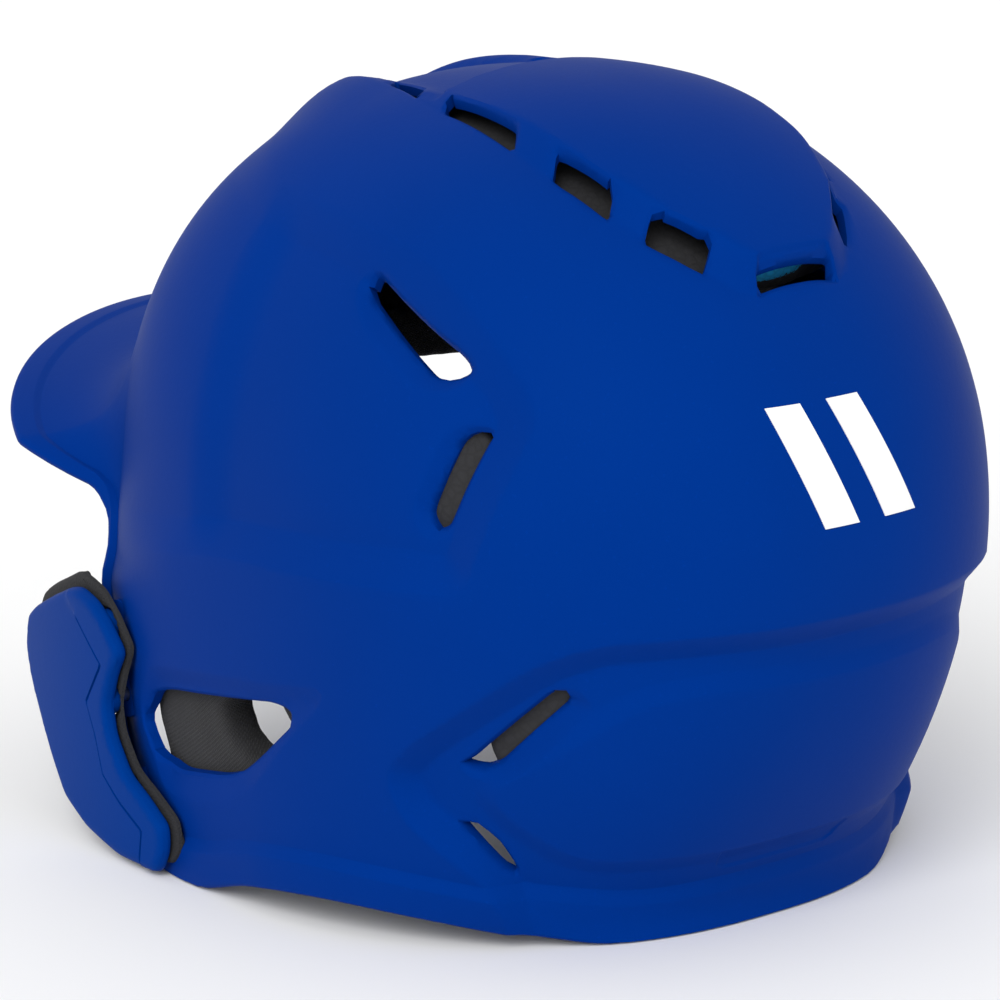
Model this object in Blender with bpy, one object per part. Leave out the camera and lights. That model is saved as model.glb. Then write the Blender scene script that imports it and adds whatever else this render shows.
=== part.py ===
"""Batting helmet with a jaw guard on the wearer's left ear flap.

Millimetres in the dimensions, metres in the scene.  The bill points to -Y, the
wearer's left is +X and +Z is up.  The origin is the middle of the footprint, on the
plane that the two ear flaps and the back of the rim stand on.
"""

import math

import bmesh
import bpy
import numpy as np
from mathutils import Vector

MM = 0.001

# The dome, as half sizes about its own centre
DOME_HALF_WIDTH = 98.0
DOME_FRONT = 120.6
DOME_REAR = 126.6
WIDEST_Z = 91.3
CROWN_RISE = 109.8
PLAN_POWER = 2.3
CHEEK_POWER = 2.6
CROWN_POWER = 2.15
SIDE_TAPER = 0.055
NAPE_TAPER = 0.275
BELT_ANGLE = math.radians(70)

# How the dome sits in the part's frame: leaned back, then lifted and moved along Y
RAKE = math.radians(2.0)
LIFT = 7.4
CENTRE_Y = 20.42

# The moulded wall
WALL = 3.2
LIP_OUT = 2.2
RIM_SHARE = 0.08

SHELL_COLUMNS = 72
SHELL_ROWS = 24

# The bill
BILL_ROOT_Y = -100.0
BILL_HALF_WIDTH = 86.0
BILL_REACH = 75.0
BILL_SIDE_Z = 88.0
BILL_TIP_RISE = 23.0
BILL_ROOT_LENGTH = 27.0
BILL_TIP_SHARE = 0.68
BILL_SPAN = math.radians(80)
# Share of the way round the edge, from the front, that is bill, and half the blend into the flap
BILL_SHARE = 0.34
BILL_JOIN = 0.03

# The steps that are moulded into the wall
RECESS_DEPTH = 4.6
RECESS_BAND = 9.0
NAPE_PANEL_RISE = 1.4
EAR_FACET_DEPTH = 1.6
PANEL_RISE = 5.2
PANEL_WALL = 6.0
WING_RISE = 4.7
VALLEY_DEPTH = 2.0

# Depth of each layer's outer face below the plain dome, and its thickness
LINER_DEPTH = 8.5
LINER_THICK = 9.5
CROWN_LINER_DEPTH = 6.0
CROWN_LINER_THICK = 10.0
PAD_THICK = 6.0
LAYER_GAP = 0.9
EAR_PAD_DEPTH = 5.4
EAR_PAD_THICK = 10.0
MARK_DEPTH = -0.9
MARK_THICK = 0.5
MARK_HEIGHT = 121.5
MARK_HALF_TALL = 15.0
MARK_HALF_WIDE = 5.0
MARK_SLANT = 6.0
MARK_TURN = 88.5
MARK_DEGREE_ARC = 2.05

# Where the padding lies against the wall: degrees round from +X, then heights
BROW_LINER = ((-130, -50), (100, 148))
WALL_LINERS = {
    "nape_liner": ((42.5, 137.5), (30, 70.5)),
    "upper_nape_liner": ((49.5, 130.5), (73, 150)),
    "left_side_liner": ((-36, 47.5), (72.5, 141)),
    "right_side_liner": ((216, 132.5), (72.5, 141)),
}
BROW_PAD = ((-127, -53), (102, 124))
WALL_PADS = {
    "nape_pad": ((62, 118), (38, 74)),
    "left_temple_pad": ((-26, 12), (84, 116)),
    "right_temple_pad": ((206, 168), (84, 116)),
}
# And against the crown: the middle's distance behind the dome's centre, then half width and length
CROWN_LINER = (12.0, (70, 84))
CROWN_PAD = (8.0, (36, 44))
# The ear pads, as (y, z) from the dome's centre, and how far the hole in them clears the ear hole
EAR_PAD_CENTRE = (-4.0, 41.0)
EAR_PAD_EDGE = [
    (-47, 10), (-57, 18), (-61, 27), (-60.5, 36), (-57, 46), (-44, 58), (-20, 66),
    (22, 64), (33, 50), (30, 20), (18, 4), (-30, 1), (-42, 4),
]
EAR_PAD_HOLE = (14.0, 10.0)

# The jaw guard
GUARD_X = 97.4
GUARD_BEND = 0.0021
GUARD_BEND_FROM = -45.0
GUARD_WALL = 3.0
GUARD_PAD_THICK = 8.0
GUARD_GAP = 0.4

# Its screws, driven along X from inside the ear flap: name, y and z from the dome's centre
SCREWS = [("upper", -67.0, 53.0), ("middle", -67.0, 33.5), ("lower", -57.0, 9.0)]
SCREW_RADIUS = 1.9
SCREW_HOLE_RADIUS = 2.3
SCREW_HEAD_RADIUS = 3.8
SCREW_HEAD_TALL = 2.0
WASHER_RADIUS = 5.2
WASHER_TALL = 0.8
SEAT_RADIUS = 6.0
BOSS_RADIUS = 4.6
SEAT_X = 80.6
BOSS_X = 91.6

# Edge of the moulding round the ear flap and the nape: (degrees round from +X towards the
# back, height above the table), from the temple down the flap's front and along the bottom.
FLAP_EDGE = [
    (-50.5, 92.0), (-49.0, 88.0), (-47.5, 81.0), (-46.0, 71.0), (-45.0, 57.0), (-44.0, 41.0),
    (-42.5, 24.0), (-38.5, 9.0), (-31.0, 0.4), (-24.0, -0.6), (-16.0, 1.0), (-2.0, 7.0),
    (14.0, 9.6), (34.0, 8.0), (52.0, 3.2), (66.0, -0.6), (80.0, -0.6), (90.0, -0.6),
]

# Openings and steps on the side, as (y, z) from the dome's centre
TEMPLE_RECESS = [
    (-210, 196), (-60, 182), (-18, 175.5), (16.5, 172.5), (43, 168), (64.5, 156.5), (80, 144), (86, 135.5),
    (84, 123), (80, 109), (76, 94.5), (72, 91.3), (42, 89.5), (-7, 86.5), (-60, 76), (-210, 70),
]
VENT_UPPER = [(26.5, 164.2), (61.3, 149.2), (65.3, 146.2), (60.3, 143.2), (54.3, 143.7), (32.3, 155.7), (24.5, 160)]
VENT_LOWER = [(75.5, 132.3), (70, 132), (67.5, 129.5), (62, 110), (64.5, 106.3), (68, 107.5)]
EAR_HOLE = [
    (-56.5, 29.5), (-49, 39), (-38, 42.5), (10, 51), (17, 50.5), (17.5, 46.5), (5, 36), (-6, 28),
    (-16, 24.5), (-38, 20), (-49, 21),
]
EAR_FACET = [(-58, 34), (-48, 47), (-30, 51), (32, 60), (30, 55), (14, 40), (0, 25), (-18, 17), (-45, 12)]

# Openings and steps on the nape, as (degrees round from +X, z)
NAPE_RECESS = [(120, 83.5), (69, 83.5), (58, 82), (51, 76.5), (33, 50), (29.4, 43), (29, 37), (31, 29), (45, 9.5), (50, -30), (120, -30)]
NAPE_PANEL = [(120, 70), (70, 71.5), (62, 68.5), (56, 60), (43, 42), (41, 36), (44, 28), (53, 16), (60, 13), (120, 12)]
VENT_NAPE_UPPER = [(39.2, 44), (41.5, 46.5), (52.5, 67), (54.2, 66.5), (54.2, 63.5), (45, 45), (43, 43)]
VENT_NAPE_LOWER = [(38.6, 27.5), (41.5, 27.5), (44.8, 22.5), (47.4, 14.5), (46.6, 13)]
DEGREE_ARC = 1.9

# Half width of the raised crown panel at distances behind the dome's centre
PANEL_OUTLINE_Y = [-46, -38, -24, 10, 48, 65, 80, 91, 95.5, 97]
PANEL_HALF_WIDTHS = [9, 18, 24, 31.5, 33, 31, 25.5, 16.5, 12.5, 5]
# Where the ridge of each wing in front of the panel lies: half widths at distances behind the centre
WING_LINE_Y = [-115, -75, -55, -30, 10]
WING_HALF_WIDTHS = [6, 11, 17, 26, 36]
# Each slot of the panel's side wall: where it starts and ends behind the dome's centre
PANEL_SLOTS = [(-31, -11), (4, 35), (50.5, 68.5), (78, 90)]
SLOT_INNER = 1.4
SLOT_OUTER = 6.4
SLOT_SLANT = 4.0
REAR_SLOT_LONG = 3.2
REAR_SLOT_HALF_WIDTH = 12.0

# Rear and front edges of the jaw guard from its top corner to its tip, as (y, z)
GUARD_REAR = [
    (-77.8, 61.5), (-69.5, 60.0), (-62.8, 56.0), (-55.4, 48.8), (-60.0, 41.5), (-63.2, 33.0),
    (-61.5, 25.0), (-54.5, 16.0), (-46.2, 11.8), (-37.0, 5.8), (-37.0, -1.0), (-40.5, -8.0),
]
GUARD_FRONT = [
    (-84, 60.0), (-92, 56.5), (-101, 52.3), (-109, 48.5), (-114.8, 44.5), (-117.6, 35.0),
    (-113.5, 26.0), (-107, 18.0), (-99.5, 9.0), (-90.5, -0.2), (-77, -5.3), (-60, -8.3),
]

BLUE = (0.0, 0.037, 0.28)
GUARD_BLUE = (0.004, 0.065, 0.33)
BLACK = (0.012, 0.012, 0.013)
CHARCOAL = (0.03, 0.03, 0.033)
FOAM_BLUE = (0.02, 0.16, 0.42)
STEEL = (0.6, 0.6, 0.62)
BRASS = (0.72, 0.5, 0.22)
WHITE = (0.82, 0.82, 0.81)


def clear_scene():
    for obj in list(bpy.data.objects):
        bpy.data.objects.remove(obj, do_unlink=True)


def new_collection(name):
    found = bpy.data.collections.new(name)
    bpy.context.scene.collection.children.link(found)
    return found


def material(name, colour, roughness, metallic=0.0):
    made = bpy.data.materials.new(name)
    made.use_nodes = True
    shader = made.node_tree.nodes["Principled BSDF"]
    shader.inputs["Base Color"].default_value = (*colour, 1.0)
    shader.inputs["Roughness"].default_value = roughness
    shader.inputs["Metallic"].default_value = metallic
    made.diffuse_color = (*colour, 1.0)
    return made


def ease(value):
    """A smooth step from 0 to 1 as the value goes from 0 to 1."""
    held = np.clip(value, 0.0, 1.0)
    return held * held * (3 - 2 * held)


def signed_distance(px, py, outline):
    """Distance of each point from a closed outline, negative inside it."""
    corners = np.array(outline, float)
    ends = np.roll(corners, -1, axis=0)
    nearest = np.full(np.shape(px), 1e9)
    inside = np.zeros(np.shape(px), bool)
    for (ax, ay), (bx, by) in zip(corners, ends):
        along = ((px - ax) * (bx - ax) + (py - ay) * (by - ay)) / ((bx - ax) ** 2 + (by - ay) ** 2)
        along = np.clip(along, 0, 1)
        gap = np.hypot(px - ax - along * (bx - ax), py - ay - along * (by - ay))
        nearest = np.minimum(nearest, gap)
        crosses = (ay > py) != (by > py)
        slope = (bx - ax) * (py - ay) / np.where(by == ay, 1e-9, by - ay) + ax
        inside ^= crosses & (px < slope)
    return np.where(inside, -nearest, nearest)


# ---------------------------------------------------------------- the dome's surface


def wall_radius(angle, height):
    """Distance of the dome's plain outer wall from its upright axis."""
    cosine, sine = np.cos(angle), np.sin(angle)
    low = ease((105 - height) / 50)
    power = np.where(sine < 0, PLAN_POWER + (CHEEK_POWER - PLAN_POWER) * low, PLAN_POWER)
    half_length = np.where(sine < 0, DOME_FRONT, DOME_REAR)
    plan = (np.abs(cosine / DOME_HALF_WIDTH) ** power + np.abs(sine / half_length) ** power) ** (-1 / power)
    above = np.clip((height - WIDEST_Z) / CROWN_RISE, 0, 1)
    below = np.clip((WIDEST_Z - height) / WIDEST_Z, 0, 1)
    taper = SIDE_TAPER + (NAPE_TAPER - SIDE_TAPER) * np.clip(sine, 0, 1) ** 1.5
    return plan * (1 - above**CROWN_POWER) ** (1 / CROWN_POWER) * (1 - taper * below**1.9)


def dome_point(angle, height):
    radius = wall_radius(angle, height)
    return np.stack([radius * np.cos(angle), radius * np.sin(angle), height + 0 * radius], axis=-1)


def belt_height(polar):
    return WIDEST_Z + CROWN_RISE * np.cos(polar) ** (2 / CROWN_POWER)


def smooth_through(stations, knots, at):
    """Catmull-Rom curve through the stations, read at the given places between its knots."""
    stations = np.array(stations, float)
    slopes = np.gradient(stations, knots, axis=0)
    index = np.clip(np.searchsorted(knots, at) - 1, 0, len(knots) - 2)
    width = (knots[index + 1] - knots[index])[:, None]
    t = (at[:, None] - knots[index][:, None]) / width
    start, end = stations[index], stations[index + 1]
    rise, fall = slopes[index] * width, slopes[index + 1] * width
    return (
        (2 * t**3 - 3 * t**2 + 1) * start
        + (t**3 - 2 * t**2 + t) * rise
        + (3 * t**2 - 2 * t**3) * end
        + (t**3 - t**2) * fall
    )


def on_table(degrees, above_table):
    """Height on the dome of a point at this height above the table."""
    angle = np.radians(degrees)
    rearward = wall_radius(angle, np.full_like(angle, 20.0)) * np.sin(angle)
    return (above_table + rearward * math.sin(RAKE) - LIFT) / math.cos(RAKE)


def bill_edge(turn):
    """Front edge of the bill at an angle round from its tip."""
    return np.stack(
        [
            BILL_HALF_WIDTH * np.sin(turn),
            BILL_ROOT_Y - BILL_REACH * np.cos(turn),
            BILL_SIDE_Z + BILL_TIP_RISE * np.clip(np.cos(turn), 0, 1) ** 1.3,
        ],
        axis=-1,
    )


def left_columns(place):
    """For each place from 0, front, to 1, back: the edge point, the angle at the crown, and how much it is bill."""
    flap = np.array(FLAP_EDGE, float)
    steps = np.hypot(np.diff(flap[:, 0]) * DEGREE_ARC, np.diff(flap[:, 1]))
    knots = np.concatenate([[0], np.cumsum(steps)]) / steps.sum()
    on_flap = np.clip((place - BILL_SHARE) / (1 - BILL_SHARE), 0, 1)
    edge = smooth_through(flap, knots, on_flap)
    heights = on_table(edge[:, 0], edge[:, 1])
    on_wall = dome_point(np.radians(edge[:, 0]), heights)
    turn = np.clip(place / BILL_SHARE, 0, 1) * BILL_SPAN
    on_bill = bill_edge(turn)
    share = 1 - ease((place - BILL_SHARE + BILL_JOIN) / (2 * BILL_JOIN))
    crown = np.radians(np.interp(place, [0, BILL_SHARE, 0.62, 1], [-90, -47, -18, 90]))
    edge_angle = np.where(place < BILL_SHARE, np.radians(flap[0, 0]), np.radians(edge[:, 0]))
    edge_height = np.where(place < BILL_SHARE, heights[0] * 0 + on_table(flap[:1, 0], flap[:1, 1])[0], heights)
    point = share[:, None] * on_bill + (1 - share[:, None]) * on_wall
    return point, crown, edge_angle, edge_height, share


def plain_surface(places, drops):
    """The dome and bill without their steps: a point for each place round the edge (0 front, 1 back,
    2 front again) and each drop from 0, the crown, through 1, the belt, to 2, the edge."""
    mirrored = places > 1
    half = np.where(mirrored, 2 - places, places)
    edge, crown, edge_angle, edge_height, share = left_columns(half)
    upper = np.clip(drops, 0, 1)
    lower = np.clip(drops - 1, 0, 1)
    polar = upper * BELT_ANGLE
    belt_z = belt_height(BELT_ANGLE)
    # Above the belt
    height = belt_height(polar)
    plan = wall_radius(crown, np.full_like(crown, WIDEST_Z))
    radius = plan * np.sin(polar) ** (2 / CROWN_POWER)
    point = np.stack([radius * np.cos(crown), radius * np.sin(crown), height], axis=-1)
    # Down the wall
    angle = crown + (edge_angle - crown) * ease(lower) ** 0.9
    down = belt_z + (edge_height - belt_z) * lower
    on_wall = dome_point(angle, down)
    # Out along the bill
    belt = dome_point(crown, np.full_like(crown, belt_z))
    under = dome_point(crown, np.full_like(crown, belt_z - 1))
    tangent = under - belt
    tangent /= np.linalg.norm(tangent, axis=-1, keepdims=True)
    outward = edge - np.array([0, BILL_ROOT_Y + 45.0, 0])
    outward[:, 2] = 0
    outward /= np.linalg.norm(outward, axis=-1, keepdims=True)
    outward[:, 2] = -0.16
    overhang = np.linalg.norm((edge - belt)[:, :2], axis=-1, keepdims=True)
    root, first = belt, belt + tangent * BILL_ROOT_LENGTH
    last = edge - outward * BILL_TIP_SHARE * overhang
    t = lower[:, None]
    on_bill = (1 - t) ** 3 * root + 3 * (1 - t) ** 2 * t * first + 3 * (1 - t) * t**2 * last + t**3 * edge
    below = share[:, None] * on_bill + (1 - share[:, None]) * on_wall
    point = np.where((drops > 1)[:, None], below, point)
    point[:, 0] *= np.where(mirrored, -1, 1)
    return point


def panel_half_width(y):
    return np.interp(y, PANEL_OUTLINE_Y, PANEL_HALF_WIDTHS, left=0, right=0)


def panel_distance(x, y):
    """Distance outside the crown panel's top edge, negative on the panel."""
    left = list(zip(PANEL_HALF_WIDTHS, PANEL_OUTLINE_Y))
    outline = left + [(-x_, y_) for x_, y_ in reversed(left)]
    return signed_distance(x, y, outline)


def step_height(points, near_rim):
    """How far the moulded steps stand out of the plain surface, in millimetres."""
    x, y, z = points[:, 0], points[:, 1], points[:, 2]
    degrees = np.degrees(np.arctan2(y, np.abs(x)))
    on_dome = ease((z - 118) / 20)
    # Recess behind the temple, which fades towards the brow
    temple = signed_distance(y, z, TEMPLE_RECESS)
    fade = 0.4 + 0.6 * ease((y + 42) / 50)
    high = -RECESS_DEPTH * ease(-temple / RECESS_BAND) * fade
    # Recess across the nape, with a slightly raised panel in it
    nape = signed_distance(degrees * DEGREE_ARC, z, [(a * DEGREE_ARC, h) for a, h in NAPE_RECESS])
    panel = signed_distance(degrees * DEGREE_ARC, z, [(a * DEGREE_ARC, h) for a, h in NAPE_PANEL])
    low = -RECESS_DEPTH * ease(-nape / RECESS_BAND) * (1 - 0.6 * near_rim) + NAPE_PANEL_RISE * ease(-panel / 5)
    # Raised panel along the crown, with a valley in front of it between two proud wings
    off_panel = panel_distance(x, y)
    rise = PANEL_RISE * ease((y + 30) / 90)
    crown = rise * (1 - ease(off_panel / PANEL_WALL))
    wing_line = np.abs(x) - np.interp(y, WING_LINE_Y, WING_HALF_WIDTHS)
    wing = WING_RISE * ease((y + 110) / 40) * (1 - ease((y + 66) / 46))
    crown = crown + wing * ease((wing_line + 3) / 5) * (1 - ease((wing_line - 2) / 24))
    valley = ease((y + 90) / 40) * (1 - ease((y + 20) / 50))
    crown = crown - VALLEY_DEPTH * valley * (1 - ease((wing_line + 6) / 6))
    # Facet round the ear opening
    facet = signed_distance(y, z, EAR_FACET)
    ear = -EAR_FACET_DEPTH * ease(-facet / 5)
    return high * ease((z - 60) / 10) + low + crown * on_dome + ear


def shell_point(places, drops, inward=0.0):
    """Points of the shell in the part's frame, moved in from the outer face by a distance."""
    places = np.atleast_1d(np.asarray(places, float))
    drops = np.atleast_1d(np.asarray(drops, float))
    point = plain_surface(places, drops)
    tiny = 2e-3
    along = plain_surface((places + tiny) % 2, drops) - plain_surface((places - tiny) % 2, drops)
    ahead = np.minimum(drops + tiny, 2)
    down = plain_surface(places, ahead) - plain_surface(places, np.maximum(ahead - 2 * tiny, 0))
    normal = np.cross(down, along)
    size = np.linalg.norm(normal, axis=-1, keepdims=True)
    normal = np.where(size < 1e-9, [0, 0, 1.0], normal / np.maximum(size, 1e-9))
    near_rim = ease((drops - 2) / RIM_SHARE + 1)
    bill = left_columns(np.where(places > 1, 2 - places, places))[4]
    out = step_height(point, near_rim) + near_rim * LIP_OUT * (1 - 0.6 * bill) - inward
    point = point + normal * np.reshape(out, (-1, 1))
    return point


# ---------------------------------------------------------------- charts for the other parts


def inward_from(chart, first, second, depth):
    """Points at a depth below a chart's surface, in millimetres."""
    point = chart(first, second)
    across = chart(first + 1e-3, second) - chart(first - 1e-3, second)
    along = chart(first, second + 1e-3) - chart(first, second - 1e-3)
    normal = np.cross(across, along)
    normal /= np.linalg.norm(normal, axis=-1, keepdims=True)
    outward = point - np.array([0, 0, 60.0])
    normal *= np.sign(np.sum(normal * outward, axis=-1, keepdims=True))
    return point - normal * np.reshape(depth, (-1, 1))


def wall_chart(degrees, height):
    """The plain dome by degrees round from +X and height."""
    return dome_point(np.radians(degrees), height)


def crown_chart(x, y):
    """The plain dome's top by its plan position."""
    angle = np.arctan2(y, x)
    share = np.hypot(x, y) / wall_radius(angle, np.full_like(angle, WIDEST_Z))
    return np.stack([x, y, WIDEST_Z + CROWN_RISE * (1 - share**CROWN_POWER) ** (1 / CROWN_POWER)], axis=-1)


def flank_chart(y, z):
    """The plain dome's left flank by its side view position."""
    x = np.full_like(y, 90.0)
    for _ in range(8):
        radius = wall_radius(np.arctan2(y, x), z)
        x = np.sqrt(np.maximum(radius**2 - y**2, 1.0))
    return np.stack([x, y, z], axis=-1)


def guard_chart(y, z):
    bend = np.maximum(GUARD_BEND_FROM - y, 0)
    return np.stack([GUARD_X - GUARD_BEND * bend**2, y, z], axis=-1)


def rounded(u, v, squareness):
    """Moves a place on the square from -1 to 1 towards a circle."""
    pull = (1 - squareness) / 2
    return u * np.sqrt(1 - pull * v**2), v * np.sqrt(1 - pull * u**2)


# ---------------------------------------------------------------- building in Blender


def to_part_frame(points):
    """From the dome's own centre to the part's frame, in metres."""
    x, y, z = points[:, 0], points[:, 1], points[:, 2]
    cosine, sine = math.cos(RAKE), math.sin(RAKE)
    return np.stack([x, y * cosine + z * sine + CENTRE_Y, z * cosine - y * sine + LIFT], axis=-1) * MM


def slab(name, across, along, place, look, collection, loop=False):
    """A block of grid cells whose two faces are placed by a function of u, v and which face."""
    mesh = bpy.data.meshes.new(name)
    block = bmesh.new()
    bmesh.ops.create_grid(block, x_segments=across, y_segments=along, size=1)
    raised = bmesh.ops.extrude_face_region(block, geom=block.faces[:])
    for vert in [item for item in raised["geom"] if isinstance(item, bmesh.types.BMVert)]:
        vert.co.z = 1
    if loop:
        ends = [f for f in block.faces if abs(sum(v.co.x for v in f.verts)) > len(f.verts) - 1e-4]
        bmesh.ops.delete(block, geom=ends, context="FACES")
    flat = np.array([vert.co for vert in block.verts])
    placed = to_part_frame(place(flat[:, 0], flat[:, 1], flat[:, 2]))
    for vert, spot in zip(block.verts, placed):
        vert.co = Vector(spot)
    bmesh.ops.remove_doubles(block, verts=block.verts, dist=1e-6)
    bmesh.ops.dissolve_degenerate(block, edges=block.edges, dist=1e-7)
    return finish(block, mesh, look, collection)


def finish(block, mesh, look, collection):
    bmesh.ops.recalc_face_normals(block, faces=block.faces)
    bmesh.ops.triangulate(block, faces=block.faces)
    block.to_mesh(mesh)
    block.free()
    obj = bpy.data.objects.new(mesh.name, mesh)
    collection.objects.link(obj)
    if look:
        mesh.materials.append(look)
    return obj


def add_prism(block, lower, upper):
    """A closed prism between two matching outlines, given in the dome's frame."""
    ends = [[block.verts.new(Vector(p)) for p in to_part_frame(np.array(ring, float))] for ring in (lower, upper)]
    faces = [block.faces.new(ends[0]), block.faces.new(ends[1])]
    count = len(ends[0])
    for i in range(count):
        j = (i + 1) % count
        faces.append(block.faces.new([ends[0][i], ends[0][j], ends[1][j], ends[1][i]]))
    bmesh.ops.recalc_face_normals(block, faces=faces)


def add_rod(block, start_x, end_x, y, z, radius, segments=14):
    turns = np.linspace(0, 2 * math.pi, segments, endpoint=False)
    ring = [(y + radius * math.cos(t), z + radius * math.sin(t)) for t in turns]
    add_prism(block, [(start_x, a, b) for a, b in ring], [(end_x, a, b) for a, b in ring])


def helper(name, block, collection):
    """An object that only a Boolean uses."""
    obj = finish(block, bpy.data.meshes.new(name), None, collection)
    obj.hide_render = True
    obj.display_type = "WIRE"
    return obj


def boolean(obj, tool, operation):
    modifier = obj.modifiers.new(tool.name, "BOOLEAN")
    modifier.operation = operation
    modifier.solver = "EXACT"
    modifier.object = tool


def lathe(name, profile, start_x, y, z, look, collection, segments=12):
    """A turned piece on an axis along X, from (radius, distance along X) pairs."""
    mesh = bpy.data.meshes.new(name)
    block = bmesh.new()
    points = to_part_frame(np.array([(start_x + step, y + radius, z) for radius, step in profile]))
    verts = [block.verts.new(Vector(p)) for p in points]
    edges = [block.edges.new(pair) for pair in zip(verts, verts[1:])]
    if profile[0][0] > 0 and profile[-1][0] > 0:
        edges.append(block.edges.new((verts[-1], verts[0])))
    centre = to_part_frame(np.array([(start_x, y, z)]))[0]
    bmesh.ops.spin(block, geom=verts + edges, cent=centre, axis=(1, 0, 0), angle=2 * math.pi, steps=segments)
    bmesh.ops.remove_doubles(block, verts=block.verts, dist=1e-6)
    bmesh.ops.dissolve_degenerate(block, edges=block.edges, dist=1e-7)
    return finish(block, mesh, look, collection)


# ---------------------------------------------------------------- the pieces


def shell_openings(collection):
    """Everything that is cut out of the moulding."""
    block = bmesh.new()
    for side in (1, -1):
        for outline in (VENT_UPPER, VENT_LOWER, EAR_HOLE):
            add_prism(block, [(side * 55, y, z) for y, z in outline], [(side * 115, y, z) for y, z in outline])
        for outline in (VENT_NAPE_UPPER, VENT_NAPE_LOWER):
            rings = []
            for radius in (60, 130):
                turned = [(math.radians(a), z) for a, z in outline]
                rings.append([(side * radius * math.cos(a), radius * math.sin(a), z) for a, z in turned])
            add_prism(block, *rings)
        for start, end in PANEL_SLOTS:
            corners = [(start, SLOT_INNER, 0), (end, SLOT_INNER, 0), (end, SLOT_OUTER, 1), (start, SLOT_OUTER, 1)]
            plan = [(side * (float(panel_half_width(y)) + off), y + SLOT_SLANT * k) for y, off, k in corners]
            add_prism(block, [(x, y, 130) for x, y in plan], [(x, y, 215) for x, y in plan])
    half, near, far = REAR_SLOT_HALF_WIDTH, PANEL_OUTLINE_Y[-1] + SLOT_INNER, PANEL_OUTLINE_Y[-1] + SLOT_INNER + REAR_SLOT_LONG
    plan = [(-half, near), (half, near), (half, far), (-half, far)]
    add_prism(block, [(x, y, 120) for x, y in plan], [(x, y, 190) for x, y in plan])
    for _, y, z in SCREWS:
        add_rod(block, 70, 110, y, z, SCREW_HOLE_RADIUS)
    return helper("shell_openings", block, collection)


def below_table(collection):
    """What the flat feet of the rim are trimmed with."""
    block = bmesh.new()
    bmesh.ops.create_cube(block, size=0.5)
    for vert in block.verts:
        vert.co.z -= 0.25
    return helper("below_table", block, collection)


def screw_seats(collection):
    """Flat seats inside the left ear flap, one under each washer."""
    block = bmesh.new()
    for _, y, z in SCREWS:
        wall = float(flank_chart(np.array([y + SEAT_RADIUS]), np.array([z]))[0, 0])
        add_rod(block, SEAT_X, wall - 1.2, y, z, SEAT_RADIUS)
    return helper("screw_seats", block, collection)


def outer_shell(look, collection, helpers):
    def place(u, v, face):
        return shell_point((u + 1) % 2, 1 + v, inward=WALL * face)

    shell = slab("outer_shell", SHELL_COLUMNS, SHELL_ROWS, place, look, collection, loop=True)
    boolean(shell, screw_seats(helpers), "UNION")
    boolean(shell, shell_openings(helpers), "DIFFERENCE")
    boolean(shell, below_table(helpers), "DIFFERENCE")
    return shell


def guard_place(u, v, depth):
    """A place on the jaw guard: u from its rear to its front edge, v from its top to its tip."""
    share = (v + 1) / 2 * (len(GUARD_REAR) - 1)
    stations = np.arange(len(GUARD_REAR))
    rear = [np.interp(share, stations, column) for column in np.transpose(GUARD_REAR)]
    front = [np.interp(share, stations, column) for column in np.transpose(GUARD_FRONT)]
    mix = (u + 1) / 2
    y = rear[0] + (front[0] - rear[0]) * mix
    z = rear[1] + (front[1] - rear[1]) * mix
    return inward_from(guard_chart, y, z, depth)


def jaw_guard(look, collection, helpers):
    guard = slab("jaw_guard", 7, 17, lambda u, v, face: guard_place(u, v, GUARD_WALL * face), look, collection)
    bosses, bores = bmesh.new(), bmesh.new()
    for _, y, z in SCREWS:
        inner = float(guard_chart(np.array([y]), np.array([z]))[0, 0]) - GUARD_WALL
        add_rod(bosses, BOSS_X, inner + 1.0, y, z, BOSS_RADIUS)
        add_rod(bores, BOSS_X - 5, inner + 1.6, y, z, SCREW_HOLE_RADIUS)
    boolean(guard, helper("guard_bosses", bosses, helpers), "UNION")
    boolean(guard, helper("guard_bores", bores, helpers), "DIFFERENCE")
    return guard


def jaw_guard_pad(look, collection, helpers):
    """Foam behind the guard, thin where the guard laps the ear flap."""

    def place(u, v, face):
        inset_u, inset_v = u * 0.9 + 0.04, v * 0.92
        outer = guard_place(inset_u, inset_v, np.full_like(u, GUARD_WALL + GUARD_GAP))
        inner = guard_place(inset_u, inset_v, np.full_like(u, GUARD_WALL + GUARD_GAP + GUARD_PAD_THICK))
        wall = flank_chart(np.maximum(inner[:, 1], -78), inner[:, 2])
        lip = np.maximum(ease((16 - inner[:, 2]) / 12), ease((-56 - inner[:, 1]) / 8)) * (LIP_OUT + 1.1)
        clear = wall[:, 0] + 2 * GUARD_GAP + lip - 0.2 * np.maximum(-84 - inner[:, 1], 0)
        inner[:, 0] = np.maximum(inner[:, 0], np.minimum(clear, outer[:, 0] - 0.5))
        return np.where(face[:, None] > 0.5, inner, outer)

    pad = slab("jaw_guard_pad", 6, 14, place, look, collection)
    holes = bmesh.new()
    for _, y, z in SCREWS:
        add_rod(holes, 60, 110, y, z, BOSS_RADIUS + GUARD_GAP)
    boolean(pad, helper("guard_pad_holes", holes, helpers), "DIFFERENCE")
    return pad


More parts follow.
